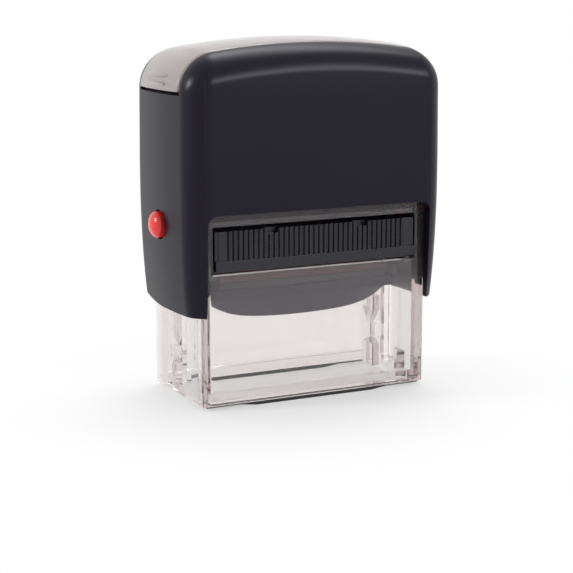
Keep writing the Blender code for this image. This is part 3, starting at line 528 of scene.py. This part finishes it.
def coil_tree():
    """A round wire wound on an upright cylinder."""
    tree, given, out = node_tree("wound_coil", [
        ("Turns", "Float"), ("Coil Radius", "Float"), ("Wire Radius", "Float"), ("Height", "Float"),
        ("Foot", "Vector"), ("Material", "Material")])
    new, join = tree.nodes.new, tree.links.new
    value = given.outputs

    spiral = new("GeometryNodeCurveSpiral")
    spiral.inputs["Resolution"].default_value = 40
    join(value["Turns"], spiral.inputs["Rotations"])
    join(value["Coil Radius"], spiral.inputs["Start Radius"])
    join(value["Coil Radius"], spiral.inputs["End Radius"])
    join(value["Height"], spiral.inputs["Height"])
    stand = new("GeometryNodeTransform")
    join(spiral.outputs["Curve"], stand.inputs["Geometry"])
    join(value["Foot"], stand.inputs["Translation"])
    section = new("GeometryNodeCurvePrimitiveCircle")
    section.inputs["Resolution"].default_value = 14
    join(value["Wire Radius"], section.inputs["Radius"])
    wire = new("GeometryNodeCurveToMesh")
    wire.inputs["Fill Caps"].default_value = True
    join(stand.outputs["Geometry"], wire.inputs["Curve"])
    join(section.outputs["Curve"], wire.inputs["Profile Curve"])
    real = new("GeometryNodeRealizeInstances")
    join(wire.outputs["Mesh"], real.inputs["Geometry"])
    finish = new("GeometryNodeSetMaterial")
    join(real.outputs["Geometry"], finish.inputs["Geometry"])
    join(value["Material"], finish.inputs["Material"])
    join(finish.outputs["Geometry"], out.inputs["Geometry"])
    return tree


def shader_group(name, inputs, outputs):
    """A shader node group with named inputs and outputs."""
    tree = bpy.data.node_groups.new(name, "ShaderNodeTree")
    for label, kind, default in inputs:
        socket = tree.interface.new_socket(label, in_out="INPUT", socket_type=f"NodeSocket{kind}")
        if default is not None:
            socket.default_value = default
    for label, kind in outputs:
        tree.interface.new_socket(label, in_out="OUTPUT", socket_type=f"NodeSocket{kind}")
    return tree, tree.nodes.new("NodeGroupInput"), tree.nodes.new("NodeGroupOutput")


def noise(tree, place, scale, detail=3.0):
    """Noise from 0 to 1; its scale is a number or another node's output."""
    node = tree.nodes.new("ShaderNodeTexNoise")
    node.inputs["Detail"].default_value = detail
    tree.links.new(place, node.inputs["Vector"])
    if isinstance(scale, bpy.types.NodeSocket):
        tree.links.new(scale, node.inputs["Scale"])
    else:
        node.inputs["Scale"].default_value = scale
    return node.outputs["Fac"]


def surface_group():
    """Grain for a bump, gloss that varies with handling, and a tone that drifts over the piece."""
    name = "moulded_surface"
    if name in bpy.data.node_groups:
        return bpy.data.node_groups[name]
    tree, given, out = shader_group(
        name,
        [("Vector", "Vector", None), ("Colour", "Color", (0.5, 0.5, 0.5, 1.0)), ("Tone Drift", "Float", 0.1),
         ("Grain Scale", "Float", 4000.0), ("Patch Scale", "Float", 90.0),
         ("Smoothest", "Float", 0.3), ("Roughest", "Float", 0.4)],
        [("Colour", "Color"), ("Roughness", "Float"), ("Height", "Float")])
    join = tree.links.new
    value = given.outputs
    patch = noise(tree, value["Vector"], value["Patch Scale"])
    grain = noise(tree, value["Vector"], value["Grain Scale"], 2.0)

    span = maths(tree, "SUBTRACT", value["Roughest"], value["Smoothest"])
    patch_share, grain_share = 0.75, 0.25
    mixed = maths(tree, "ADD", maths(tree, "MULTIPLY", patch, patch_share),
                  maths(tree, "MULTIPLY", grain, grain_share))
    roughness = maths(tree, "ADD", value["Smoothest"], maths(tree, "MULTIPLY", span, mixed))
    join(roughness, out.inputs["Roughness"])

    drift = maths(tree, "MULTIPLY", maths(tree, "SUBTRACT", mixed, 0.5), value["Tone Drift"])
    tone = tree.nodes.new("ShaderNodeVectorMath")
    tone.operation = "SCALE"
    join(value["Colour"], tone.inputs[0])
    join(maths(tree, "ADD", 1.0, drift), tone.inputs["Scale"])
    join(tone.outputs[0], out.inputs["Colour"])
    join(grain, out.inputs["Height"])
    return tree


def finish(name, shade, roughness, grain=4000.0, patch=90.0, drift=0.2, bump=0.05, depth=0.02 * MM,
           smoke=None, **constants):
    """A material on the shared surface group.

    roughness is its smoothest and roughest value, smoke a colour and a density inside clear plastic, and
    constants are values of the shader's own sockets.
    """
    material = bpy.data.materials.new(name)
    material.use_nodes = True
    tree = material.node_tree
    shader = tree.nodes["Principled BSDF"]
    place = tree.nodes.new("ShaderNodeTexCoord")
    surface = tree.nodes.new("ShaderNodeGroup")
    surface.node_tree = surface_group()
    surface.inputs["Colour"].default_value = (*shade, 1.0)
    for label, value in (("Tone Drift", drift), ("Grain Scale", grain), ("Patch Scale", patch),
                         ("Smoothest", roughness[0]), ("Roughest", roughness[1])):
        surface.inputs[label].default_value = value
    join = tree.links.new
    join(place.outputs["Object"], surface.inputs["Vector"])
    join(surface.outputs["Colour"], shader.inputs["Base Color"])
    join(surface.outputs["Roughness"], shader.inputs["Roughness"])
    relief = tree.nodes.new("ShaderNodeBump")
    relief.inputs["Strength"].default_value = bump
    relief.inputs["Distance"].default_value = depth
    join(surface.outputs["Height"], relief.inputs["Height"])
    join(relief.outputs["Normal"], shader.inputs["Normal"])
    for label, value in constants.items():
        shader.inputs[label.replace("_", " ")].default_value = value
    if smoke is not None:
        inside = tree.nodes.new("ShaderNodeVolumeAbsorption")
        inside.inputs["Color"].default_value = (*smoke[0], 1.0)
        inside.inputs["Density"].default_value = smoke[1]
        join(inside.outputs["Volume"], tree.nodes["Material Output"].inputs["Volume"])
    return material


class STAMP_OT_base(bpy.types.Operator):
    """Make the smoky clear base and its rubber feet"""

    bl_idname = "stamp.base"
    bl_label = "Clear base and feet"

    def execute(self, context):
        look = context.scene.stamp.base
        clear = finish("smoky_clear_plastic", look.tint, (0.01, 0.04), patch=160.0, drift=0.03, bump=0.02,
                       smoke=(look.smoke, look.smoke_density), Transmission_Weight=0.97, IOR=1.28,
                       Specular_Tint=(1.0, 0.84, 1.0, 1.0), Coat_Weight=0.5, Coat_Roughness=0.02)
        base = merged_copy("clear_base", "base_frame")
        round_edges(base, look.edge)
        dress(base, clear, "base", "smoky_clear", "base_frame")

        rubber = finish("foot_rubber", look.rubber, (0.6, 0.85), grain=2600.0, bump=0.25, depth=0.04 * MM)
        for name, node in (("front_foot_strip", "foot_front"), ("back_foot_strip", "foot_back")):
            strip = merged_copy(name, node)
            round_edges(strip, look.edge)
            dress(strip, rubber, "base", "dark_rubber", node)
        return {"FINISHED"}


def handle_half_width(look, z):
    """The handle is widest at its waist and draws in towards the legs and the top."""
    if z < look.waist:
        return look.half_width - look.leg_taper * ((look.waist - z) / (look.waist - look.leg_bottom)) ** 3
    return look.half_width - look.top_taper * (z - look.waist) / (look.crown - look.waist)


def handle_half_depth(look, z):
    """The legs draw in at the front, below the opening's upper edge."""
    below = max(0.0, look.opening_top - z) / (look.opening_top - look.leg_bottom)
    return look.half_depth - look.front_taper * below


def leg_edge(look, y):
    """Height of the legs' lower edge, which rises towards the back."""
    return look.leg_bottom + max(0.0, y) ** 2 / (2 * look.leg_rise)


def crown(look, x):
    """Height of the handle's arched top."""
    return look.crown - x * x / (2 * look.crown_radius)


def outline(half_x, half_y, corner, bow=0.0, panel=None, corner_steps=14, side_steps=12):
    """Points round a rectangle with round corners and bowed ends, each with its outward direction.

    The front corners get a close pair of points where a panel's edge lies.
    """
    in_x, in_y = half_x - bow - corner, half_y - corner
    points = []
    for quarter, (sign_x, sign_y) in enumerate(((1, 1), (-1, 1), (-1, -1), (1, -1))):
        shares = [i / corner_steps for i in range(corner_steps + 1)]
        if panel is not None and sign_y < 0:
            least, most = PANEL_EDGE_LIMITS
            edge = math.asin(min(most, max(least, (panel - in_x) / corner))) / (math.pi / 2)
            edge = 1 - edge if quarter == 2 else edge
            shares = sorted(shares + [edge - PANEL_EDGE_STEP, edge + PANEL_EDGE_STEP])
        for share in shares:
            angle = (quarter + share) * math.pi / 2
            out = (math.cos(angle), math.sin(angle))
            points.append((sign_x * in_x + corner * out[0], sign_y * in_y + corner * out[1], out))
        for i in range(1, side_steps):
            along = 1 - 2 * i / side_steps
            if quarter in (0, 2):
                points.append((sign_x * in_x * along, sign_y * half_y, (0.0, float(sign_y))))
            else:
                swell = bow * (1 - along * along)
                points.append((sign_x * (in_x + corner + swell), sign_y * in_y * along, (float(sign_x), 0.0)))
    return points


def domed(height_at, half_x, half_y, corner, side_bend, front_bend, steps, **shape):
    """Rings that roll from upright walls over the top edge on to the surface height_at(x)."""
    rings = []
    for step in range(steps + 1):
        angle = step * math.pi / 2 / steps
        draw, drop = 1 - math.cos(angle), 1 - math.sin(angle)
        tight = max(corner - min(side_bend, front_bend) * draw * CORNER_DRAW, TIGHTEST_CORNER)
        ring = []
        for x, y, out in outline(half_x - side_bend * draw, half_y - front_bend * draw, tight, **shape):
            bend = side_bend * out[0] ** 2 + front_bend * out[1] ** 2
            ring.append((x, y, height_at(x) - bend * drop))
        rings.append(ring)
    return rings


def with_panel(look, ring):
    """Lift the front panel a little out of the front, fading out under the top bend."""
    lifted = []
    for x, y, z in ring:
        fade = min(1.0, max(0.0, (look.crown - look.panel_top - z) / look.panel_fade))
        inside = y < -look.half_depth + look.corner and abs(x) < look.panel_reach
        lifted.append((x, y - look.panel_proud * fade if inside else y, z))
    return lifted


class STAMP_OT_handle(bpy.types.Operator):
    """Make the black handle with its legs, front opening, window seat and front panel"""

    bl_idname = "stamp.handle"
    bl_label = "Handle"

    def execute(self, context):
        look = context.scene.stamp.handle
        black = finish("handle_black", look.colour, (0.28, 0.38), grain=5200.0, patch=70.0, drift=0.25,
                       bump=0.06, Specular_IOR_Level=0.2, Specular_Tint=(0.90, 0.88, 1.0, 1.0))
        shell = self.outside(look)
        boolean(shell, self.hollow(look), "DIFFERENCE")
        boolean(shell, self.post(look), "UNION")
        for cut in (self.opening, self.below_legs, self.below_back, self.seat, self.bores):
            boolean(shell, cut(look), "DIFFERENCE")
        round_edges(shell, look.edge)
        dress(shell, black, "handle", "black_satin", "cap_shell")
        return {"FINISHED"}

    def outside(self, look):
        """The closed outer form, with the front panel standing out of it."""
        low, shoulder = look.leg_bottom - CUT_MARGIN, look.crown - look.side_bend - SHOULDER_GAP
        shape = {"bow": look.side_bow, "panel": look.panel_reach}
        rings = []
        for i in range(WALL_STEPS + 1):
            z = low + (shoulder - low) * i / WALL_STEPS
            ring = outline(handle_half_width(look, z), handle_half_depth(look, z), look.corner, **shape)
            rings.append([(x, y, z) for x, y, _ in ring])
        half = handle_half_width(look, look.crown - look.side_bend)
        rings += domed(lambda x: crown(look, x), half, look.half_depth, look.corner, look.side_bend,
                       look.front_bend, 18, **shape)
        top = rings[-1]
        for factor in (0.85, 0.7, 0.55, 0.4, 0.25, 0.1):
            rings.append([(x * factor, y * factor, crown(look, x * factor)) for x, y, _ in top])
        bm = bmesh.new()
        add_loft(bm, [with_panel(look, ring) for ring in rings], (0.0, 0.0, look.crown))
        return object_from("handle_shell", bm)

    def hollow(self, look):
        """The room inside, open at the bottom."""
        shape = {"corner_steps": 6, "side_steps": 1}
        half_x, half_y, corner = look.inner_half_width, look.inner_half_depth, look.inner_corner
        low = look.leg_bottom - 3 * CUT_MARGIN
        rings = [[(x, y, low) for x, y, _ in outline(half_x, half_y, corner, **shape)]]
        rings += domed(lambda x: look.roof, half_x, half_y, corner, look.inner_side_bend,
                       look.inner_front_bend, 6, **shape)
        bm = bmesh.new()
        add_loft(bm, rings)
        return bm

    def post(self, look):
        """The spring's post under the roof."""
        middle = look.roof + (SINK - look.post_length) / 2
        bm = bmesh.new()
        bmesh.ops.create_cone(bm, cap_ends=True, segments=ROUND_SIDES, radius1=look.post, radius2=look.post,
                              depth=look.post_length + SINK, matrix=Matrix.Translation((0.0, 0.0, middle)))
        return bm

    def opening(self, look):
        """The front opening, drawn past the legs' ends so that only its upper corners show."""
        bottom = look.leg_bottom - OPENING_OVERRUN
        middle, half = (look.opening_top + bottom) / 2, (look.opening_top - bottom) / 2
        ring = outline(look.opening, half, look.opening_corner, corner_steps=8, side_steps=1)
        return front_prism([(x, z + middle) for x, z, _ in ring], -look.half_depth - CUT_MARGIN,
                           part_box("base_frame")[0].y)

    def below_legs(self, look):
        """What lies under the legs' lower edge."""
        reach, low = look.half_depth + CUT_MARGIN, look.leg_bottom - 2 * CUT_MARGIN
        side = look.half_width + CUT_MARGIN
        curve = [reach * i / WALL_STEPS for i in range(WALL_STEPS, -1, -1)] + [-reach]
        below = [(-reach, low), (reach, low)] + [(y, leg_edge(look, y)) for y in curve]
        return side_prism(below, -side, side)

    def below_back(self, look):
        """What lies under the back wall between the legs."""
        edge = leg_edge(look, look.half_depth) + look.back_rise
        bm = bmesh.new()
        add_box(bm, (-look.opening, -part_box("base_frame")[0].y, look.leg_bottom - 2 * CUT_MARGIN),
                (look.opening, look.half_depth + CUT_MARGIN, edge))
        return bm

    def seat(self, look):
        """The window's seat over the top and down both ends."""
        far, above = look.half_width + CUT_MARGIN, look.crown + CUT_MARGIN
        around = [(far, look.seat_end), (far, above), (-far, above), (-far, look.seat_end)]
        return front_prism(arch(look, look.seat_depth, look.seat_end) + around, -look.seat, look.seat)

    def bores(self, look):
        """Holes for the lock buttons and blind bores for the axle's ends."""
        low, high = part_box("lock_button_left")
        button_height = (low.z + high.z) / 2
        inner, outer = look.inner_half_width - CUT_MARGIN, look.half_width + CUT_MARGIN
        button = [(inner, look.button_pocket), (look.pocket_end, look.button_pocket),
                  (look.pocket_end, look.button_hole), (outer, look.button_hole)]
        axle = [(inner, look.axle_bore), (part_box("die_carrier")[1].x + look.axle_play, look.axle_bore)]
        bm = bmesh.new()
        for side in (-1, 1):
            turned(bm, button, side, button_height, ROUND_SIDES)
            turned(bm, axle, side, look.axle, ROUND_SIDES)
        return bm


def arch(look, depth, end, bend_steps=24, crown_steps=40):
    """The handle's outline (x, z) over its top, drawn in by a depth, from the left end to the right."""
    side = handle_half_width(look, look.crown - look.side_bend) - depth
    radius = look.side_bend - depth

    def bent(angle):
        x = side - radius * (1 - math.cos(angle))
        return x, crown(look, x) - depth - radius * (1 - math.sin(angle))

    below, above = 0.0, math.pi / 2
    for _ in range(HALVINGS):
        angle = (below + above) / 2
        below, above = (angle, above) if bent(angle)[1] < end else (below, angle)
    half = [bent(above + (math.pi / 2 - above) * i / bend_steps) for i in range(bend_steps + 1)]
    last = half[-1][0]
    flat = [last * (1 - 2 * i / crown_steps) for i in range(1, crown_steps // 2)]
    half += [(x, crown(look, x) - depth) for x in flat]
    return [(-x, z) for x, z in half] + [(0.0, crown(look, 0.0) - depth)] + half[::-1]


def bent_strip(name, look, stations, end):
    """A strip bent over the handle's top; stations are (y, outer depth, inner depth)."""
    bm = bmesh.new()
    rings = []
    for y, outer, inner in stations:
        loop = arch(look, outer, end) + arch(look, inner, end)[::-1]
        rings.append([bm.verts.new((x, y, z)) for x, z in loop])
    count = len(rings[0])
    for near, far in zip(rings, rings[1:]):
        for i in range(count):
            j = (i + 1) % count
            bm.faces.new((near[i], near[j], far[j], far[i]))
    for ring in (rings[0], rings[-1]):
        for i in range(count // 2 - 1):
            bm.faces.new((ring[i], ring[i + 1], ring[count - 2 - i], ring[count - 1 - i]))
    bmesh.ops.recalc_face_normals(bm, faces=bm.faces)
    return object_from(name, bm)


class STAMP_OT_window(bpy.types.Operator):
    """Make the clear index cover with its thumb ridges, and the card under it"""

    bl_idname = "stamp.window"
    bl_label = "Index window and card"

    def execute(self, context):
        look, handle = context.scene.stamp.window, context.scene.stamp.handle
        clear = finish("window_smoky_plastic", look.tint, (0.10, 0.17), patch=120.0, drift=0.05, bump=0.03,
                       Transmission_Weight=0.55, IOR=1.4)
        steps = 28
        stations = []
        for i in range(steps + 1):
            share = math.sin((2 * i / steps - 1) * math.pi / 2)
            edge = look.edge_drop * abs(share) ** EDGE_ROLL_POWER
            stations.append((share * look.width / 2, edge - look.bulge * (1 - share * share), look.thickness))
        cover = bent_strip("window_cover", handle, stations, look.end)
        tree = repeated_bar_tree(tapered=True)
        rise = [arch(handle, -look.bulge, look.ridge_first + i * look.ridge_pitch)[0] for i in (0, 1)]
        for side in (-1, 1):
            step = (side * (rise[0][0] - rise[1][0]), 0.0, rise[1][1] - rise[0][1])
            run_nodes(cover, tree, {
                "Count": look.ridges, "Start": (-side * rise[0][0], -look.ridge_length / 2, rise[0][1]),
                "Step": step, "Width": 2 * look.ridge_proud, "Depth": look.ridge_width / 2,
                "Height": look.ridge_length, "Turn": (-math.pi / 2, 0.0, 0.0), "Material": clear})
        smooth(cover)
        dress(cover, clear, "window", "clear_window", "index_window")

        paper = finish("card_paper", look.card, (0.75, 0.9), grain=3000.0, drift=0.06, bump=0.15)
        low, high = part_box("index_card")
        outer = look.thickness + look.card_gap
        inner = outer + look.card_thickness
        edge = high.y - look.card_inset
        card = bent_strip("card_sheet", handle, [(-edge, outer, inner), (edge, outer, inner)], low.z)
        smooth(card)
        dress(card, paper, "handle", "white_card", "index_card")
        return {"FINISHED"}


class STAMP_OT_buttons(bpy.types.Operator):
    """Make the two red lock buttons"""

    bl_idname = "stamp.buttons"
    bl_label = "Lock buttons"

    def execute(self, context):
        look = context.scene.stamp.button
        red = finish("button_red", look.colour, (0.16, 0.28), grain=3000.0, drift=0.12, bump=0.04,
                     Coat_Weight=0.35, Coat_Roughness=0.12)
        for side, name in ((-1, "left"), (1, "right")):
            node = f"lock_button_{name}"
            low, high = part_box(node)
            inner, outer = sorted((abs(low.x), abs(high.x)))
            flange = inner + look.tip_length
            profile = [(inner, look.tip), (flange, look.tip), (flange, look.flange),
                       (flange + look.flange_thickness, look.flange),
                       (flange + look.flange_thickness, look.radius)]
            steps = 14
            for i in range(steps):
                angle = i * math.pi / 2 / steps
                profile.append((outer - look.dome * (1 - math.sin(angle)), look.radius * math.cos(angle)))
            bm = bmesh.new()
            turned(bm, profile, side, (low.z + high.z) / 2, look.sides, outer)
            knob = object_from(f"{name}_lock_knob", bm)
            smooth(knob)
            dress(knob, red, f"lock_{name}", "red_button", node)
        return {"FINISHED"}


class STAMP_OT_cartridge(bpy.types.Operator):
    """Make the ink cartridge: tray, grip ribs and felt"""

    bl_idname = "stamp.cartridge"
    bl_label = "Ink cartridge"

    def execute(self, context):
        look = context.scene.stamp.cartridge
        low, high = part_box("pad_tray")
        pad_low, pad_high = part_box("ink_pad")
        root = low.y + look.rib_depth
        lip = low.z + look.lip
        black = finish("tray_black", look.colour, (0.22, 0.34), grain=4200.0, drift=0.2, bump=0.08,
                       Specular_IOR_Level=0.4)
        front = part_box("base_frame")[0].y
        behind, gap = front + SINK, look.play
        comb = high.x - look.strip_end
        bm = bmesh.new()
        add_box(bm, (low.x, front, low.z), high)
        tray = object_from("cartridge_tray", bm)
        shapes = [
            ("DIFFERENCE", (pad_low.x - gap, pad_low.y - gap, low.z - gap),
             (pad_high.x + gap, pad_high.y + gap, pad_high.z + gap)),
            ("DIFFERENCE", (low.x - gap, front - gap, low.z - gap),
             (high.x + gap, front + look.lip_depth, lip)),
            ("UNION", (-comb, root, lip + gap), (comb, behind, high.z)),
            ("UNION", (low.x, low.y, lip), (high.x, behind, lip + look.band))]
        for side in (-1, 1):
            left, right = (side * look.notch_offset + s * look.notch_width / 2 for s in (-1, 1))
            shapes.append(("DIFFERENCE", (left, low.y - gap, high.z - look.notch_depth),
                           (right, front + look.notch_reach, high.z + gap)))
        for operation, corner, opposite in shapes:
            bm = bmesh.new()
            add_box(bm, corner, opposite)
            boolean(tray, bm, operation)
        round_edges(tray, look.edge)
        first = -(look.ribs - 1) * look.rib_pitch / 2
        run_nodes(tray, repeated_bar_tree(), {
            "Count": look.ribs, "Start": (first, root, lip + look.band - SINK),
            "Step": (look.rib_pitch, 0.0, 0.0), "Width": look.rib_width, "Depth": look.rib_depth,
            "Height": high.z - lip - look.band + SINK, "Notch Offset": look.notch_offset,
            "Notch Width": look.notch_width, "Notch Depth": look.notch_depth, "Material": black})
        smooth(tray)
        dress(tray, black, "cartridge", "black_tray", "pad_tray")

        felt = finish("inked_felt", look.felt, (0.75, 0.95), grain=1800.0, patch=260.0, drift=0.9, bump=0.6,
                      depth=0.12 * MM)
        pad = soft_slab("felt_pad", pad_low, pad_high, look.felt_crown, look.felt_pull)
        dress(pad, felt, "cartridge", "red_felt", "ink_pad")
        return {"FINISHED"}


class STAMP_OT_plate(bpy.types.Operator):
    """Make the die plate: carrier, foam and rubber die"""

    bl_idname = "stamp.plate"
    bl_label = "Die plate"

    def execute(self, context):
        look = context.scene.stamp.plate
        dark = finish("carrier_dark", look.carrier, (0.45, 0.6), grain=3600.0, drift=0.2, bump=0.1,
                      Specular_IOR_Level=0.15)
        carrier = merged_copy("die_holder", "die_carrier")
        round_edges(carrier, look.edge)
        dress(carrier, dark, "die_plate", "black_carrier", "die_carrier")

        grey = finish("foam_grey", look.foam, (0.9, 1.0), grain=1500.0, patch=400.0, drift=0.8, bump=0.7,
                      depth=0.15 * MM)
        low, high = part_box("foam_cushion")
        foam = soft_slab("foam_layer", low, high, look.foam_crown, look.foam_pull)
        dress(foam, grey, "die_plate", "grey_foam", "foam_cushion")

        rubber = finish("inked_rubber", look.rubber, (0.55, 0.75), grain=2400.0, patch=220.0, drift=0.7,
                        bump=0.12)
        die = merged_copy("die_rubber_plate", "rubber_die")
        round_edges(die, look.edge / 2)
        dress(die, rubber, "die_plate", "die_rubber", "rubber_die")
        return {"FINISHED"}


class STAMP_OT_spring(bpy.types.Operator):
    """Wind the press spring"""

    bl_idname = "stamp.spring"
    bl_label = "Press spring"

    def execute(self, context):
        look = context.scene.stamp.spring
        steel = finish("spring_steel_wire", look.colour, (0.22, 0.38), grain=2500.0, drift=0.15, bump=0.05,
                       Metallic=1.0)
        low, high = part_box("press_spring")
        coil = link("wound_spring", bpy.data.meshes.new("wound_spring"))
        foot = low.z + look.wire
        run_nodes(coil, coil_tree(), {
            "Turns": look.turns, "Coil Radius": look.radius, "Wire Radius": look.wire,
            "Height": high.z - look.wire - foot, "Foot": (0.0, 0.0, foot), "Material": steel})
        coil.data.shade_smooth()
        dress(coil, steel, "base", "spring_steel", "press_spring")
        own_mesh(coil)
        return {"FINISHED"}


def map_range(tree, value, limits):
    """A value carried over from one range to another."""
    node = tree.nodes.new("ShaderNodeMapRange")
    for label, limit in limits.items():
        node.inputs[label].default_value = limit
    tree.links.new(value, node.inputs["Value"])
    return node.outputs[0]


def white_where_seen(tree, plain, white_node, share=1.0):
    """Mix a shader with white for what the camera, gloss and clear plastic see of it directly."""
    path = tree.nodes.new("ShaderNodeLightPath")
    through = maths(tree, "MAXIMUM", path.outputs["Is Glossy Ray"], path.outputs["Is Transmission Ray"])
    seen = maths(tree, "MAXIMUM", path.outputs["Is Camera Ray"], through)
    white = tree.nodes.new(white_node)
    white.inputs["Color"].default_value = WHITE
    mix = tree.nodes.new("ShaderNodeMixShader")
    tree.links.new(maths(tree, "MULTIPLY", seen, share), mix.inputs["Fac"])
    tree.links.new(plain, mix.inputs[1])
    tree.links.new(white.outputs[0], mix.inputs[2])
    return mix.outputs[0]


class STAMP_OT_stage(bpy.types.Operator):
    """Set the floor, the soft light and the camera"""

    bl_idname = "stamp.stage"
    bl_label = "Stage"

    def execute(self, context):
        scene = context.scene
        look = scene.stamp.stage
        scene.view_settings.view_transform = "Standard"
        self.floor(look)
        self.world(scene, look)
        for box in SOFTBOXES:
            self.softbox(**box)
        self.camera(scene, look)
        return {"FINISHED"}

    def floor(self, look):
        """A round pale floor that fades to white away from the stamp."""
        bm = bmesh.new()
        bmesh.ops.create_circle(bm, cap_ends=True, radius=look.floor_radius, segments=2 * ROUND_SIDES)
        floor = object_from("pale_floor", bm)
        material = bpy.data.materials.new("pale_floor")
        material.use_nodes = True
        tree = material.node_tree
        tree.nodes.remove(tree.nodes["Principled BSDF"])
        pale = tree.nodes.new("ShaderNodeBsdfDiffuse")
        pale.inputs["Color"].default_value = (*look.floor, 1.0)
        place = tree.nodes.new("ShaderNodeTexCoord")
        away = tree.nodes.new("ShaderNodeVectorMath")
        away.operation = "LENGTH"
        tree.links.new(place.outputs["Object"], away.inputs[0])
        fade = map_range(tree, away.outputs["Value"], FLOOR_FADE)
        shown = white_where_seen(tree, pale.outputs[0], "ShaderNodeEmission", fade)
        tree.links.new(shown, tree.nodes["Material Output"].inputs["Surface"])
        floor.data.materials.append(material)

    def world(self, scene, look):
        """Soft light from all round, stronger from the back, before a white background."""
        world = bpy.data.worlds.new("studio")
        world.use_nodes = True
        scene.world = world
        tree = world.node_tree
        around = tree.nodes["Background"]
        around.inputs["Color"].default_value = WHITE
        place = tree.nodes.new("ShaderNodeTexCoord")
        split = tree.nodes.new("ShaderNodeSeparateXYZ")
        tree.links.new(place.outputs["Generated"], split.inputs[0])
        rise = map_range(tree, split.outputs["Y"], SKY_RISE)
        tree.links.new(maths(tree, "MULTIPLY", rise, look.ambient), around.inputs["Strength"])
        shown = white_where_seen(tree, around.outputs[0], "ShaderNodeBackground")
        tree.links.new(shown, tree.nodes["World Output"].inputs["Surface"])

    def softbox(self, name, place, size, watts):
        """A lamp with a soft edge, turned to the stamp."""
        light = bpy.data.lights.new(name, "AREA")
        light.shape = "RECTANGLE"
        light.size, light.size_y = size
        light.energy = watts
        obj = link(name, light)
        obj.location = place
        obj.rotation_euler = (LIT_POINT - Vector(place)).to_track_quat("-Z", "Y").to_euler()

    def camera(self, scene, look):
        """The camera where the photograph was taken from."""
        camera = bpy.data.cameras.new("photo_camera")
        camera.lens = look.lens
        camera.sensor_width = 36.0
        camera.clip_start = 0.01
        obj = link("photo_camera", camera)
        obj.location = look.camera
        obj.rotation_euler = Vector(look.look).to_track_quat("-Z", "Y").to_euler()
        scene.camera = obj


OPERATORS = (STAMP_OT_base, STAMP_OT_spring, STAMP_OT_plate, STAMP_OT_cartridge, STAMP_OT_handle,
             STAMP_OT_window, STAMP_OT_buttons, STAMP_OT_stage)


class STAMP_PT_sidebar(bpy.types.Panel):
    """Lists the stamp's pieces and their settings"""

    bl_idname = "STAMP_PT_sidebar"
    bl_label = "Self-inking stamp"
    bl_space_type = "VIEW_3D"
    bl_region_type = "UI"
    bl_category = "Stamp"

    def draw(self, context):
        groups = context.scene.stamp
        for operator in OPERATORS:
            self.layout.operator(operator.bl_idname)
        for group in StampSettings.__annotations__:
            box = self.layout.box()
            box.label(text=group.capitalize())
            values = getattr(groups, group)
            for name in type(values).__annotations__:
                box.prop(values, name)


GROUPS = (HandleSettings, WindowSettings, BaseSettings, CartridgeSettings, PlateSettings, ButtonSettings,
          SpringSettings, StageSettings, StampSettings)
CLASSES = GROUPS + OPERATORS + (STAMP_PT_sidebar,)


def register():
    for cls in CLASSES:
        bpy.utils.register_class(cls)
    bpy.types.Scene.stamp = PointerProperty(type=StampSettings)


def unregister():
    del bpy.types.Scene.stamp
    for cls in reversed(CLASSES):
        bpy.utils.unregister_class(cls)


def main():
    register()
    for operator in OPERATORS:
        family, action = operator.bl_idname.split(".")
        getattr(getattr(bpy.ops, family), action)()


if __name__ == "__main__":
    main()
